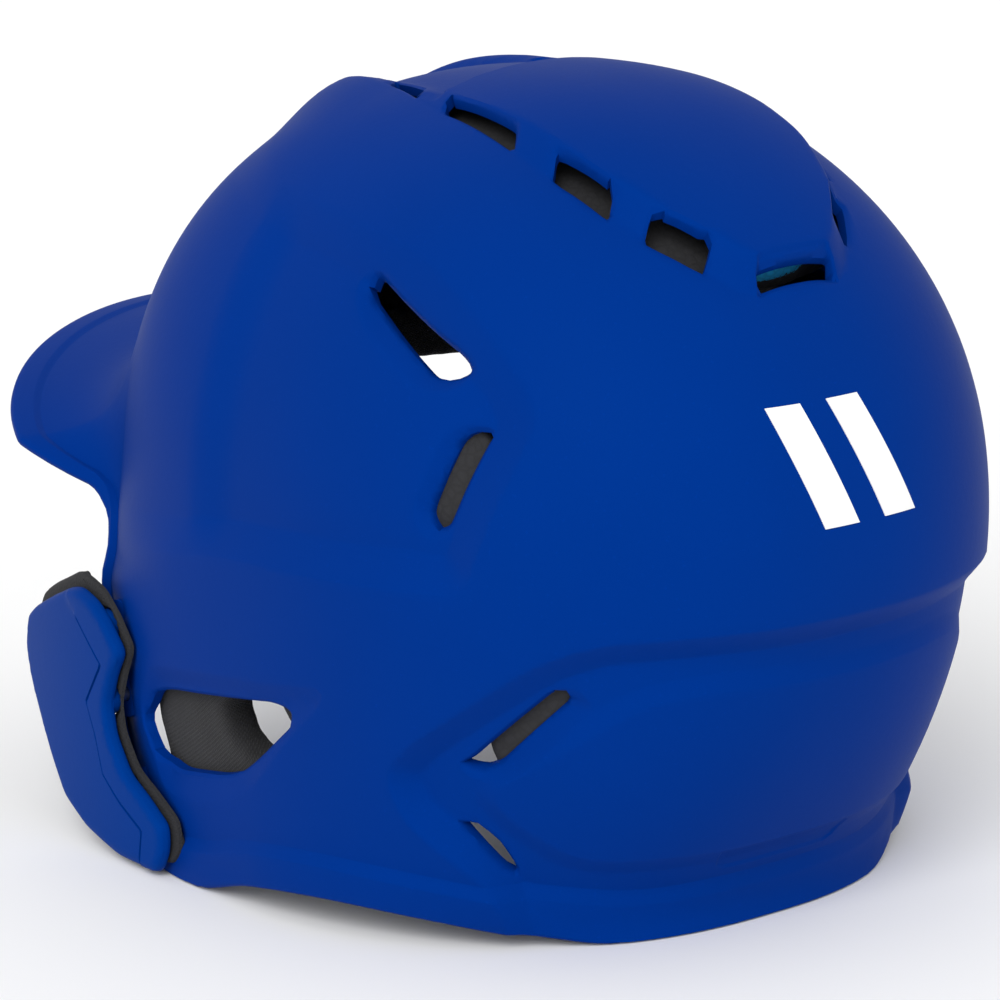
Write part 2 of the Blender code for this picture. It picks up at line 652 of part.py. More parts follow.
def guard_fasteners(look, collection):
    for name, y, z in SCREWS:
        reach = float(guard_chart(np.array([y]), np.array([z]))[0, 0]) - GUARD_WALL + 1.0
        under = SEAT_X - 0.1
        washer = [(SCREW_HOLE_RADIUS, -WASHER_TALL), (WASHER_RADIUS, -WASHER_TALL), (WASHER_RADIUS, 0)]
        washer.append((SCREW_HOLE_RADIUS, 0))
        lathe(f"jaw_guard_washer_{name}", washer, under, y, z, look, collection)
        head = under - WASHER_TALL - 0.1
        screw = [
            (0, 1.0 - SCREW_HEAD_TALL), (1.5, 1.0 - SCREW_HEAD_TALL), (1.5, -SCREW_HEAD_TALL),
            (SCREW_HEAD_RADIUS - 0.8, -SCREW_HEAD_TALL), (SCREW_HEAD_RADIUS, -SCREW_HEAD_TALL * 0.5),
            (SCREW_HEAD_RADIUS, 0), (SCREW_RADIUS, 0), (SCREW_RADIUS, reach - head), (0, reach - head),
        ]
        lathe(f"jaw_guard_screw_{name}", screw, head, y, z, look, collection)


def wall_pad(name, degrees, heights, depth, thick, look, collection, cells=(10, 6), squareness=0.45):
    """A rounded pad against the wall between two angles and two heights."""

    def place(u, v, face):
        a, b = rounded(u, v, squareness)
        turn = (degrees[0] + degrees[1]) / 2 + a * (degrees[1] - degrees[0]) / 2
        height = (heights[0] + heights[1]) / 2 + b * (heights[1] - heights[0]) / 2
        return inward_from(wall_chart, turn, height, depth + thick * face)

    return slab(name, *cells, place, look, collection)


def crown_pad(name, centre_y, half, depth, thick, look, collection, cells=(10, 12)):
    def place(u, v, face):
        a, b = rounded(u, v, 0.1)
        return inward_from(crown_chart, a * half[0] + 1e-4, centre_y + b * half[1] + 1e-4, depth + thick * face)

    return slab(name, *cells, place, look, collection)


def reach_to(outline, centre, turns):
    """Distance from a centre to a closed outline in each direction."""
    far = np.full(len(turns), 200.0)
    near = np.zeros(len(turns))
    for _ in range(30):
        middle = (far + near) / 2
        inside = signed_distance(centre[0] + middle * np.cos(turns), centre[1] + middle * np.sin(turns), outline) < 0
        near, far = np.where(inside, middle, near), np.where(inside, far, middle)
    return near


def ear_pad(name, side, look, collection):
    """A ring of foam round the ear opening."""

    def place(u, v, face):
        turns = (u + 1) * math.pi
        hole = 1 / np.hypot(np.cos(turns) / EAR_PAD_HOLE[0], np.sin(turns) / EAR_PAD_HOLE[1])
        edge = reach_to(EAR_PAD_EDGE, EAR_PAD_CENTRE, turns)
        reach = hole + (edge - hole) * (v + 1) / 2
        y = EAR_PAD_CENTRE[0] + reach * np.cos(turns)
        z = EAR_PAD_CENTRE[1] + reach * np.sin(turns)
        point = inward_from(flank_chart, y, z, EAR_PAD_DEPTH + EAR_PAD_THICK * face)
        point[:, 0] *= side
        return point

    return slab(name, 26, 5, place, look, collection, loop=True)


def rear_mark(name, shift, look, collection):
    """One bar of a plain mark of two slanted bars."""

    def place(u, v, face):
        height = MARK_HEIGHT + v * MARK_HALF_TALL
        turn = MARK_TURN - (shift + u * MARK_HALF_WIDE + v * MARK_SLANT) / MARK_DEGREE_ARC
        return inward_from(wall_chart, turn, height, MARK_DEPTH + MARK_THICK * face)

    return slab(name, 2, 5, place, look, collection)


def build():
    parts = new_collection("batting_helmet")
    helpers = new_collection("helpers")
    helpers.hide_render = True
    shell_look = material("shell_plastic", BLUE, 0.5)
    guard_look = material("guard_plastic", GUARD_BLUE, 0.45)
    foam = material("impact_foam", FOAM_BLUE, 0.85)
    cloth = material("lining_fabric", BLACK, 0.95)
    closed_foam = material("closed_foam", CHARCOAL, 0.9)
    steel = material("steel", STEEL, 0.35, 1.0)
    print_white = material("mark_white", WHITE, 0.5)

    outer_shell(shell_look, parts, helpers)
    jaw_guard(guard_look, parts, helpers)
    jaw_guard_pad(closed_foam, parts, helpers)
    guard_fasteners(steel, parts)

    crown_pad("crown_liner", *CROWN_LINER, CROWN_LINER_DEPTH, CROWN_LINER_THICK, foam, parts)
    wall_pad("brow_liner", *BROW_LINER, CROWN_LINER_DEPTH, CROWN_LINER_THICK, foam, parts)
    for name, (degrees, heights) in WALL_LINERS.items():
        wall_pad(name, degrees, heights, LINER_DEPTH, LINER_THICK, foam, parts)

    behind_crown = CROWN_LINER_DEPTH + CROWN_LINER_THICK + LAYER_GAP
    behind_wall = LINER_DEPTH + LINER_THICK + LAYER_GAP
    crown_pad("crown_pad", *CROWN_PAD, behind_crown, PAD_THICK, cloth, parts, cells=(8, 10))
    wall_pad("brow_pad", *BROW_PAD, behind_crown, PAD_THICK, cloth, parts, cells=(10, 4))
    for name, (degrees, heights) in WALL_PADS.items():
        wall_pad(name, degrees, heights, behind_wall, PAD_THICK, cloth, parts, cells=(7, 4))
    ear_pad("left_ear_pad", 1, cloth, parts)
    ear_pad("right_ear_pad", -1, cloth, parts)

    rear_mark("rear_mark_left", -9.0, print_white, parts)
    rear_mark("rear_mark_right", 9.0, print_white, parts)


clear_scene()
build()
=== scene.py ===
"""Batting helmet with a jaw guard: the moulded shell, the guard, the padding and the fasteners."""

import math

import bmesh
import bpy
import numpy as np
from mathutils import Matrix, Vector


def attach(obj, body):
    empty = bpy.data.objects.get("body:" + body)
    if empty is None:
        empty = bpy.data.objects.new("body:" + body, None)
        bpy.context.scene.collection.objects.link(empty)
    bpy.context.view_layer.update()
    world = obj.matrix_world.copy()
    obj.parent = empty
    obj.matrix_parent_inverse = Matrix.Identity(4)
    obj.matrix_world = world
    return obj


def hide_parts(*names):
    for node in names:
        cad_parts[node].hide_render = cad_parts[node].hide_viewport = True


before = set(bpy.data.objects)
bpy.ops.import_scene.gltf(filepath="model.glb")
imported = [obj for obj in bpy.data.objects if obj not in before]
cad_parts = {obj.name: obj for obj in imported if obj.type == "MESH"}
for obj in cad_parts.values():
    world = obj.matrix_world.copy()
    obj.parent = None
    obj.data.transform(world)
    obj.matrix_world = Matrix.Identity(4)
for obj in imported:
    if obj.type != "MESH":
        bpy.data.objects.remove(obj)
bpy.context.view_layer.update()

bl_info = {
    "name": "Batting helmet",
    "version": (1, 0, 0),
    "blender": (4, 5, 0),
    "location": "3D View > Sidebar > Helmet",
    "description": "Builds a batting helmet with a jaw guard round its packed frame",
    "category": "Object",
}

# ---------------------------------------------------------------- sizes, in millimetres
# Millimetres are measured from the dome's own centre line until to_part_frame moves them.

MM = 0.001
DOME_HALF_WIDTH = 98.0
DOME_FRONT = 120.6
DOME_REAR = 126.6
WIDEST_Z = 91.3
CROWN_RISE = 109.8
PLAN_POWER = 2.3
CHEEK_POWER = 2.6
CROWN_POWER = 2.15
SIDE_TAPER = 0.055
NAPE_TAPER = 0.275
BELT_ANGLE = math.radians(70)
RAKE = math.radians(2.0)
LIFT = 7.4
CENTRE_Y = 20.42

BILL_ROOT_Y = -100.0
BILL_HALF_WIDTH = 86.0
BILL_REACH = 75.0
BILL_SIDE_Z = 88.0
BILL_TIP_RISE = 23.0
BILL_ROOT_LENGTH = 27.0
BILL_TIP_SHARE = 0.68
BILL_SPAN = math.radians(80)
BILL_SHARE = 0.34
BILL_JOIN = 0.03

LIP_OUT = 2.4
RIM_SHARE = 0.08
RECESS_DEPTH = 4.6
RECESS_BAND = 9.0
NAPE_BAND = 7.0
NAPE_PANEL_RISE = 1.4
NAPE_PANEL_BAND = 5.0
EAR_FACET_DEPTH = 1.6
EAR_FACET_BAND = 5.0
PANEL_RISE = 5.2
PANEL_WALL = 6.0
WING_RISE = 4.7
VALLEY_DEPTH = 2.0
SCOOP_DEPTH = 2.6
SCOOP_BAND = 5.0
TAB_DEPTH = 0.5
TAB_BAND = 0.8
CREASE_HALF = 0.5

FLAP_EDGE = [
    (-50.5, 92.0), (-49.0, 88.0), (-47.5, 81.0), (-46.0, 71.0), (-45.0, 57.0), (-44.0, 41.0),
    (-42.5, 24.0), (-38.5, 9.0), (-31.0, 0.4), (-24.0, -0.6), (-16.0, 1.0), (-2.0, 7.0),
    (14.0, 9.6), (34.0, 8.0), (52.0, 3.2), (66.0, -0.6), (80.0, -0.6), (90.0, -0.6),
]
DEGREE_ARC = 1.9

# Outlines seen from the side, as (y, z)
TEMPLE_RECESS = [
    (-210, 196), (-60, 182), (-18, 175.5), (16.5, 172.5), (43, 168), (64.5, 156.5), (80, 144), (86, 135.5),
    (84, 123), (80, 109), (76, 94.5), (72, 91.3), (42, 89.5), (-7, 86.5), (-60, 76), (-210, 70),
]
VENT_UPPER = [
    (26.5, 164.2), (61.3, 149.2), (65.3, 146.2), (60.3, 143.2), (54.3, 143.7), (32.3, 155.7), (24.5, 160),
]
VENT_UPPER_SCOOP = [
    (26.5, 165.7), (63.5, 150.2), (68, 146), (61.5, 140), (52.5, 139.7), (28.5, 151.7), (20.5, 160.7),
]
VENT_LOWER = [(75.5, 132.3), (70, 132), (67.5, 129.5), (62, 110), (64.5, 106.3), (68, 107.5)]
VENT_LOWER_SCOOP = [(77, 134), (68, 134), (62.5, 129.5), (57.5, 109.5), (62.5, 102.5), (70, 106)]
EAR_HOLE = [
    (-56.5, 29.5), (-49, 39), (-38, 42.5), (10, 51), (17, 50.5), (17.5, 46.5), (5, 36), (-6, 28),
    (-16, 24.5), (-38, 20), (-49, 21),
]
EAR_FACET = [(-58, 34), (-48, 47), (-30, 51), (32, 60), (30, 55), (14, 40), (0, 25), (-18, 17), (-45, 12)]

# Outlines round the nape, as (degrees round from the wearer's left, z)
NAPE_RECESS = [
    (120, 83.5), (69, 83.5), (58, 82), (51, 76.5), (33, 50), (29.4, 43), (29, 37), (31, 29),
    (45, 9.5), (50, -30), (120, -30),
]
NAPE_PANEL = [
    (120, 70), (70, 71.5), (62, 68.5), (56, 60), (43, 42),
    (41, 36), (44, 28), (53, 16), (60, 13), (120, 12),
]
VENT_NAPE_UPPER = [(39.2, 44), (41.5, 46.5), (52.5, 67), (54.2, 66.5), (54.2, 63.5), (45, 45), (43, 43)]
VENT_NAPE_SCOOP = [(38.5, 43.5), (52, 68.5), (55.5, 68.2), (57.5, 63), (52, 50), (46.5, 41), (42, 40.5)]
NAPE_TAB = [(77.5, 17), (110, 18.5), (110, 10.5), (78.5, 9.5)]
VENT_NAPE_LOWER = [(38.6, 27.5), (41.5, 27.5), (44.8, 22.5), (47.4, 14.5), (46.6, 13)]

# The raised crown panel: half widths at distances behind the centre, and the slots in its wall
PANEL_OUTLINE_Y = [-46, -38, -24, 10, 48, 65, 80, 91, 95.5, 97]
PANEL_HALF_WIDTHS = [9, 18, 24, 31.5, 33, 31, 25.5, 16.5, 12.5, 5]
WING_LINE_Y = [-115, -75, -55, -30, 10]
WING_HALF_WIDTHS = [6, 11, 17, 26, 36]
PANEL_SLOTS = [(-31, -11), (4, 35), (50.5, 68.5), (78, 90)]
SLOT_INNER = 1.4
SLOT_OUTER = 6.4
SLOT_SLANT = 4.0
REAR_SLOT = [(-12, 97.9), (12, 97.9), (12, 101.1), (-12, 101.1)]
REAR_SCOOP = [(-11, 95.5), (11, 95.5), (13.5, 102), (-13.5, 102)]

# The jaw guard, as (y, z) from its top corner to its tip
GUARD_X = 97.4
GUARD_BEND = 0.0021
GUARD_BEND_FROM = -45.0
GUARD_REAR = [
    (-77.8, 61.5), (-69.5, 60.0), (-62.8, 56.0), (-55.4, 48.8), (-60.0, 41.5), (-63.2, 33.0),
    (-61.5, 25.0), (-54.5, 16.0), (-46.2, 11.8), (-37.0, 5.8), (-37.0, -1.0), (-40.5, -8.0),
]
GUARD_FRONT = [
    (-84, 60.0), (-92, 56.5), (-101, 52.3), (-109, 48.5), (-114.8, 44.5), (-117.6, 35.0),
    (-113.5, 26.0), (-107, 18.0), (-99.5, 9.0), (-90.5, -0.2), (-77, -5.3), (-60, -8.3),
]
GUARD_GROOVE = [
    (-78.2, 53.5), (-64.8, 43.5), (-73.5, 31.2), (-69.2, 23.8), (-65.2, 13.2), (-57.2, 7.8), (-46.5, 2.5),
    (-48.2, -8.5),
]
GUARD_FOAM = [
    (-78, 64.5), (-69, 62.8), (-61.5, 57.5), (-54.6, 50.0), (-58.8, 41.3), (-61.8, 33.0), (-60.2, 25.6),
    (-53.4, 17.0), (-45, 13.0), (-35.2, 7.2), (-34.2, -0.6), (-38.5, -5.8), (-60, -6.0), (-76.5, -3.0),
    (-89, 2.0), (-98, 10.5), (-105.5, 19), (-111.8, 27), (-115.6, 35.5), (-114.2, 46.0), (-110, 51.5),
    (-101.5, 56.0), (-92.5, 60.0), (-85, 63.5),
]
FOAM_TAPER = 9.0
SCREWS = {"upper": (-67.0, 53.0), "middle": (-67.0, 33.5), "lower": (-57.0, 9.0)}
SCREW_RADIUS = 1.9
SCREW_HEAD_RADIUS = 3.8
SCREW_HEAD_TALL = 2.0
WASHER_RADIUS = 5.2
WASHER_HOLE = 2.3
WASHER_TALL = 0.8
SEAT_X = 80.6
SEAT_RADIUS = 6.0
BOSS_RADIUS = 4.6
BOSS_X = 91.6

LINER_DEPTH = 8.5
LINER_THICK = 9.5
CROWN_LINER_DEPTH = 6.0
CROWN_LINER_THICK = 10.0
FOAM_TAIL_Y = 0.1165
BROW_LINER = ((-130, -50), (100, 148))
WALL_LINERS = {
    "nape_liner": ((42.5, 137.5), (30, 70.5)),
    "upper_nape_liner": ((49.5, 130.5), (73, 150)),
    "left_side_liner": ((-36, 47.5), (72.5, 141)),
    "right_side_liner": ((216, 132.5), (72.5, 141)),
}
CROWN_LINER = (12.0, (70.0, 84.0))
COMFORT_PADS = ["crown_pad", "brow_pad", "nape_pad", "left_temple_pad", "right_temple_pad"]
EAR_PADS = ["left_ear_pad", "right_ear_pad"]

MARK_HEIGHT = 121.5
MARK_HALF_TALL = 15.0
MARK_HALF_WIDE = 5.0
MARK_SLANT = 6.0
MARK_TURN = 88.5
MARK_DEGREE_ARC = 2.05


# ---------------------------------------------------------------- settings


class ShellSettings(bpy.types.PropertyGroup):
    colour: bpy.props.FloatVectorProperty(
        name="Colour", description="Colour of the moulded shell", subtype="COLOR", size=3,
        default=(0.0, 0.0255, 0.205), min=0, max=1,
    )
    roughness: bpy.props.FloatProperty(
        name="Roughness", description="How matt the shell is", default=0.5, min=0, max=1
    )
    wall: bpy.props.FloatProperty(
        name="Wall", description="Thickness of the moulded wall", default=0.0032, unit="LENGTH"
    )
    columns: bpy.props.IntProperty(
        name="Columns", description="Steps round half of the shell", default=160, min=40
    )
    edge_round: bpy.props.FloatProperty(
        name="Edge rounding", description="Rounding at the openings", default=0.0009, unit="LENGTH"
    )


class GuardSettings(bpy.types.PropertyGroup):
    colour: bpy.props.FloatVectorProperty(
        name="Colour", description="Colour of the jaw guard", subtype="COLOR", size=3,
        default=(0.0, 0.03, 0.205), min=0, max=1,
    )
    roughness: bpy.props.FloatProperty(
        name="Roughness", description="How matt the guard is", default=0.45, min=0, max=1
    )
    wall: bpy.props.FloatProperty(
        name="Wall", description="Thickness of the guard", default=0.003, unit="LENGTH"
    )
    groove: bpy.props.FloatProperty(
        name="Groove", description="Depth of the engraved line", default=0.0014, unit="LENGTH"
    )


class FoamSettings(bpy.types.PropertyGroup):
    impact_colour: bpy.props.FloatVectorProperty(
        name="Impact foam", description="Colour of the liners", subtype="COLOR", size=3,
        default=(0.014, 0.014, 0.016), min=0, max=1,
    )
    tail_colour: bpy.props.FloatVectorProperty(
        name="Crown foam", description="Colour of the rear of the crown liner", subtype="COLOR",
        size=3, default=(0.005, 0.3, 0.62), min=0, max=1,
    )
    closed_colour: bpy.props.FloatVectorProperty(
        name="Guard foam", description="Colour of the foam behind the guard", subtype="COLOR",
        size=3, default=(0.012, 0.012, 0.014), min=0, max=1,
    )
    edge_round: bpy.props.FloatProperty(
        name="Edge rounding", description="Rounding of the liners", default=0.003, unit="LENGTH"
    )
    groove: bpy.props.FloatProperty(
        name="Channel", description="Depth of the air channels", default=0.003, unit="LENGTH"
    )


class FabricSettings(bpy.types.PropertyGroup):
    colour: bpy.props.FloatVectorProperty(
        name="Colour", description="Colour of the pads' knit cover", subtype="COLOR", size=3,
        default=(0.005, 0.005, 0.006), min=0, max=1,
    )
    pressure: bpy.props.FloatProperty(
        name="Filling", description="Pressure that swells the pads", default=4.0, min=0
    )
    rise: bpy.props.FloatProperty(
        name="Most swelling", description="Furthest the face may move", default=0.0022, unit="LENGTH"
    )


class MarkSettings(bpy.types.PropertyGroup):
    colour: bpy.props.FloatVectorProperty(
        name="Colour", description="Colour of the printed mark", subtype="COLOR", size=3,
        default=(0.82, 0.82, 0.81), min=0, max=1,
    )
    film: bpy.props.FloatProperty(
        name="Film", description="Height of the print above the shell", default=0.00025, unit="LENGTH"
    )


class StageSettings(bpy.types.PropertyGroup):
    lens: bpy.props.FloatProperty(
        name="Lens", description="Focal length of the camera", default=186.1, unit="CAMERA"
    )
    floor: bpy.props.FloatVectorProperty(
        name="Floor", description="Colour of the floor", subtype="COLOR", size=3,
        default=(0.9, 0.9, 0.9), min=0, max=1,
    )
    floor_glow: bpy.props.FloatProperty(
        name="Floor glow", description="Light the floor gives off", default=0.0, min=0
    )
    ambient: bpy.props.FloatProperty(
        name="Ambient", description="Strength of the light from all round", default=0.8, min=0
    )
    key: bpy.props.FloatProperty(
        name="Key", description="Strength of the main light", default=1.7, min=0
    )


SETTINGS = {
    "helmet_shell": ShellSettings,
    "helmet_guard": GuardSettings,
    "helmet_foam": FoamSettings,
    "helmet_fabric": FabricSettings,
    "helmet_mark": MarkSettings,
    "helmet_stage": StageSettings,
}


# ---------------------------------------------------------------- the dome and the bill


def ease(value):
    """A smooth step from 0 to 1 as the value goes from 0 to 1."""
    held = np.clip(value, 0.0, 1.0)
    return held * held * (3 - 2 * held)


def ramp(value):
    return np.clip(value, 0.0, 1.0)


def round_corners(outline, radius, steps=4):
    """The outline with each corner turned into a short arc."""
    corners = np.array(outline, float)
    made = []
    for before, corner, after in zip(np.roll(corners, 1, axis=0), corners, np.roll(corners, -1, axis=0)):
        back, ahead = before - corner, after - corner
        reach = min(radius, 0.45 * np.hypot(*back), 0.45 * np.hypot(*ahead))
        start, end = corner + back / np.hypot(*back) * reach, corner + ahead / np.hypot(*ahead) * reach
        for t in np.linspace(0, 1, steps + 1):
            made.append((1 - t) ** 2 * start + 2 * t * (1 - t) * corner + t**2 * end)
    return np.array(made)


def signed_distance(px, py, outline):
    """Distance of each point from a closed outline, negative inside it."""
    corners = np.asarray(outline, float)
    ends = np.roll(corners, -1, axis=0)
    nearest = np.full(np.shape(px), 1e9)
    inside = np.zeros(np.shape(px), bool)
    for (ax, ay), (bx, by) in zip(corners, ends):
        dx, dy = bx - ax, by - ay
        along = np.clip(((px - ax) * dx + (py - ay) * dy) / (dx * dx + dy * dy), 0, 1)
        gap = (px - ax - along * dx) ** 2 + (py - ay - along * dy) ** 2
        nearest = np.minimum(nearest, gap)
        crosses = (ay > py) != (by > py)
        inside ^= crosses & (px < dx * (py - ay) / (dy or 1e-9) + ax)
    nearest = np.sqrt(nearest)
    return np.where(inside, -nearest, nearest)


def wall_radius(angle, height):
    """Distance of the dome's plain outer wall from its upright axis."""
    cosine, sine = np.cos(angle), np.sin(angle)
    low = ease((105 - height) / 50)
    power = np.where(sine < 0, PLAN_POWER + (CHEEK_POWER - PLAN_POWER) * low, PLAN_POWER)
    half_length = np.where(sine < 0, DOME_FRONT, DOME_REAR)
    plan = (np.abs(cosine / DOME_HALF_WIDTH) ** power + np.abs(sine / half_length) ** power) ** (-1 / power)
    above = np.clip((height - WIDEST_Z) / CROWN_RISE, 0, 1)
    below = np.clip((WIDEST_Z - height) / WIDEST_Z, 0, 1)
    taper = SIDE_TAPER + (NAPE_TAPER - SIDE_TAPER) * np.clip(sine, 0, 1) ** 1.5
    return plan * (1 - above**CROWN_POWER) ** (1 / CROWN_POWER) * (1 - taper * below**1.9)


def dome_point(angle, height):
    radius = wall_radius(angle, height)
    return np.stack([radius * np.cos(angle), radius * np.sin(angle), height + 0 * radius], axis=-1)


def belt_height(polar):
    return WIDEST_Z + CROWN_RISE * np.cos(polar) ** (2 / CROWN_POWER)


def smooth_through(stations, knots, at):
    """Smooth curve through the stations, read at the given places between its knots."""
    stations = np.array(stations, float)
    slopes = np.gradient(stations, knots, axis=0)
    index = np.clip(np.searchsorted(knots, at) - 1, 0, len(knots) - 2)
    width = (knots[index + 1] - knots[index])[:, None]
    t = (at[:, None] - knots[index][:, None]) / width
    rise, fall = slopes[index] * width, slopes[index + 1] * width
    start = (2 * t**3 - 3 * t**2 + 1) * stations[index] + (t**3 - 2 * t**2 + t) * rise
    return start + (3 * t**2 - 2 * t**3) * stations[index + 1] + (t**3 - t**2) * fall


def on_table(degrees, above_table):
    """Height on the dome of a point at this height above the table."""
    angle = np.radians(degrees)
    rearward = wall_radius(angle, np.full_like(angle, 20.0)) * np.sin(angle)
    return (above_table + rearward * math.sin(RAKE) - LIFT) / math.cos(RAKE)


def bill_edge(turn):
    """Front edge of the bill at an angle round from its tip."""
    x = BILL_HALF_WIDTH * np.sin(turn)
    y = BILL_ROOT_Y - BILL_REACH * np.cos(turn)
    z = BILL_SIDE_Z + BILL_TIP_RISE * np.clip(np.cos(turn), 0, 1) ** 1.3
    return np.stack([x, y, z], axis=-1)


def columns_at(place):
    """For each place from 0, front, to 1, back: the edge, the angle at the crown, and how much is bill."""
    flap = np.array(FLAP_EDGE, float)
    steps = np.hypot(np.diff(flap[:, 0]) * DEGREE_ARC, np.diff(flap[:, 1]))
    knots = np.concatenate([[0], np.cumsum(steps)]) / steps.sum()
    edge = smooth_through(flap, knots, np.clip((place - BILL_SHARE) / (1 - BILL_SHARE), 0, 1))
    heights = on_table(edge[:, 0], edge[:, 1])
    on_wall = dome_point(np.radians(edge[:, 0]), heights)
    on_bill = bill_edge(np.clip(place / BILL_SHARE, 0, 1) * BILL_SPAN)
    share = 1 - ease((place - BILL_SHARE + BILL_JOIN) / (2 * BILL_JOIN))
    crown = np.radians(np.interp(place, [0, BILL_SHARE, 0.62, 1], [-90, -47, -18, 90]))
    front = place < BILL_SHARE
    edge_angle = np.where(front, np.radians(flap[0, 0]), np.radians(edge[:, 0]))
    edge_height = np.where(front, on_table(flap[:1, 0], flap[:1, 1])[0], heights)
    point = share[:, None] * on_bill + (1 - share[:, None]) * on_wall
    return point, crown, edge_angle, edge_height, share


def shell_chart(at):
    """The dome and bill without their steps, by place round the edge and drop from the crown."""
    mirrored = (at[:, 0] > 1) | (at[:, 0] < 0)
    places = np.where(at[:, 0] > 1, 2 - at[:, 0], np.abs(at[:, 0]))
    drops = np.clip(at[:, 1], 0, 2)
    edge, crown, edge_angle, edge_height, share = columns_at(places)
    lower = np.clip(drops - 1, 0, 1)
    polar = np.clip(drops, 0, 1) * BELT_ANGLE
    belt_z = belt_height(BELT_ANGLE)
    radius = wall_radius(crown, belt_height(polar))
    above = np.stack([radius * np.cos(crown), radius * np.sin(crown), belt_height(polar)], axis=-1)
    angle = crown + (edge_angle - crown) * ease(lower) ** 0.9
    on_wall = dome_point(angle, belt_z + (edge_height - belt_z) * lower)
    belt = dome_point(crown, np.full_like(crown, belt_z))
    tangent = dome_point(crown, np.full_like(crown, belt_z - 1)) - belt
    tangent /= np.linalg.norm(tangent, axis=-1, keepdims=True)
    outward = edge - np.array([0, BILL_ROOT_Y + 45.0, 0])
    outward[:, 2] = 0
    outward /= np.linalg.norm(outward, axis=-1, keepdims=True)
    outward[:, 2] = -0.16
    overhang = np.linalg.norm((edge - belt)[:, :2], axis=-1, keepdims=True)
    first = belt + tangent * BILL_ROOT_LENGTH
    last = edge - outward * BILL_TIP_SHARE * overhang
    t = lower[:, None]
    on_bill = (1 - t) ** 3 * belt + 3 * (1 - t) ** 2 * t * first + 3 * (1 - t) * t**2 * last + t**3 * edge
    below = share[:, None] * on_bill + (1 - share[:, None]) * on_wall
    point = np.where((drops > 1)[:, None], below, above)
    point[:, 0] *= np.where(mirrored, -1, 1)
    return point


def shell_normal(at):
    """Outward direction of the plain shell."""
    tiny = 2e-3
    along = shell_chart(at + [tiny, 0]) - shell_chart(at - [tiny, 0])
    ahead = np.minimum(at[:, 1] + tiny, 2)
    behind = np.maximum(ahead - 2 * tiny, 0)
    lower, upper = np.column_stack([at[:, 0], ahead]), np.column_stack([at[:, 0], behind])
    down = shell_chart(lower) - shell_chart(upper)
    normal = np.cross(down, along)
    size = np.linalg.norm(normal, axis=-1, keepdims=True)
    down /= np.maximum(np.linalg.norm(down, axis=-1, keepdims=True), 1e-9)
    return np.where(size < 1e-9, [0, 0, 1.0], normal / np.maximum(size, 1e-9)), down


# ---------------------------------------------------------------- lines of the moulding


def side_line(outline, radius):
    outline = round_corners(outline, radius)
    return lambda p: signed_distance(p[:, 1], p[:, 2], outline)


def nape_line(outline, radius):
    outline = round_corners([(a * DEGREE_ARC, h) for a, h in outline], radius)

    def distance(p):
        turned = np.degrees(np.arctan2(p[:, 1], np.abs(p[:, 0])))
        return signed_distance(turned * DEGREE_ARC, p[:, 2], outline)

    return distance


def crown_line(outline, radius):
    outline = round_corners(outline, radius)
    return lambda p: np.where(p[:, 2] > 118, signed_distance(p[:, 0], p[:, 1], outline), 60.0)


def wing_line(p):
    gap = np.abs(p[:, 0]) - np.interp(p[:, 1], WING_LINE_Y, WING_HALF_WIDTHS)
    return np.where((p[:, 2] > 118) & (p[:, 1] < 0), gap, 60.0)


def slot_outline(start, end):
    corners = [(start, SLOT_INNER, 0), (end, SLOT_INNER, 0), (end, SLOT_OUTER, 1), (start, SLOT_OUTER, 1)]
    halves = [float(np.interp(y, PANEL_OUTLINE_Y, PANEL_HALF_WIDTHS)) for y, _, _ in corners]
    return [(half + off, y + SLOT_SLANT * k) for half, (y, off, k) in zip(halves, corners)]


def screw_line(p):
    gaps = [np.hypot(p[:, 1] - y, p[:, 2] - z) - SCREW_RADIUS - 0.3 for y, z in SCREWS.values()]
    return np.min(gaps, axis=0)


PANEL_LEFT = list(zip(PANEL_HALF_WIDTHS, PANEL_OUTLINE_Y))
LINES = {
    "temple": side_line(TEMPLE_RECESS, 14),
    "nape": nape_line(NAPE_RECESS, 9),
    "nape_panel": nape_line(NAPE_PANEL, 8),
    "panel": crown_line(PANEL_LEFT + [(-x, y) for x, y in reversed(PANEL_LEFT)], 5),
    "ear_facet": side_line(EAR_FACET, 6),
    "tab": nape_line(NAPE_TAB, 2),
    "upper_scoop": side_line(VENT_UPPER_SCOOP, 4),
    "lower_scoop": side_line(VENT_LOWER_SCOOP, 4),
    "nape_scoop": nape_line(VENT_NAPE_SCOOP, 5),
    "rear_scoop": crown_line(REAR_SCOOP, 1),
}
OPENINGS = [
    side_line(VENT_UPPER, 2.2), side_line(VENT_LOWER, 2), side_line(EAR_HOLE, 3.5),
    nape_line(VENT_NAPE_UPPER, 1.5), nape_line(VENT_NAPE_LOWER, 1.5), crown_line(REAR_SLOT, 1),
]
OPENINGS += [crown_line(slot_outline(*span), 1.4) for span in PANEL_SLOTS]
# Which lines the mesh follows, and how far inside each its slope ends
FOLLOWED = {
    "temple": RECESS_BAND, "nape": NAPE_BAND, "nape_panel": NAPE_PANEL_BAND, "panel": -PANEL_WALL,
    "ear_facet": EAR_FACET_BAND, "tab": TAB_BAND, "upper_scoop": SCOOP_BAND, "lower_scoop": SCOOP_BAND,
    "nape_scoop": SCOOP_BAND, "rear_scoop": 0.8,
}


def opening_distance(p):
    return np.min([line(p) for line in OPENINGS], axis=0)


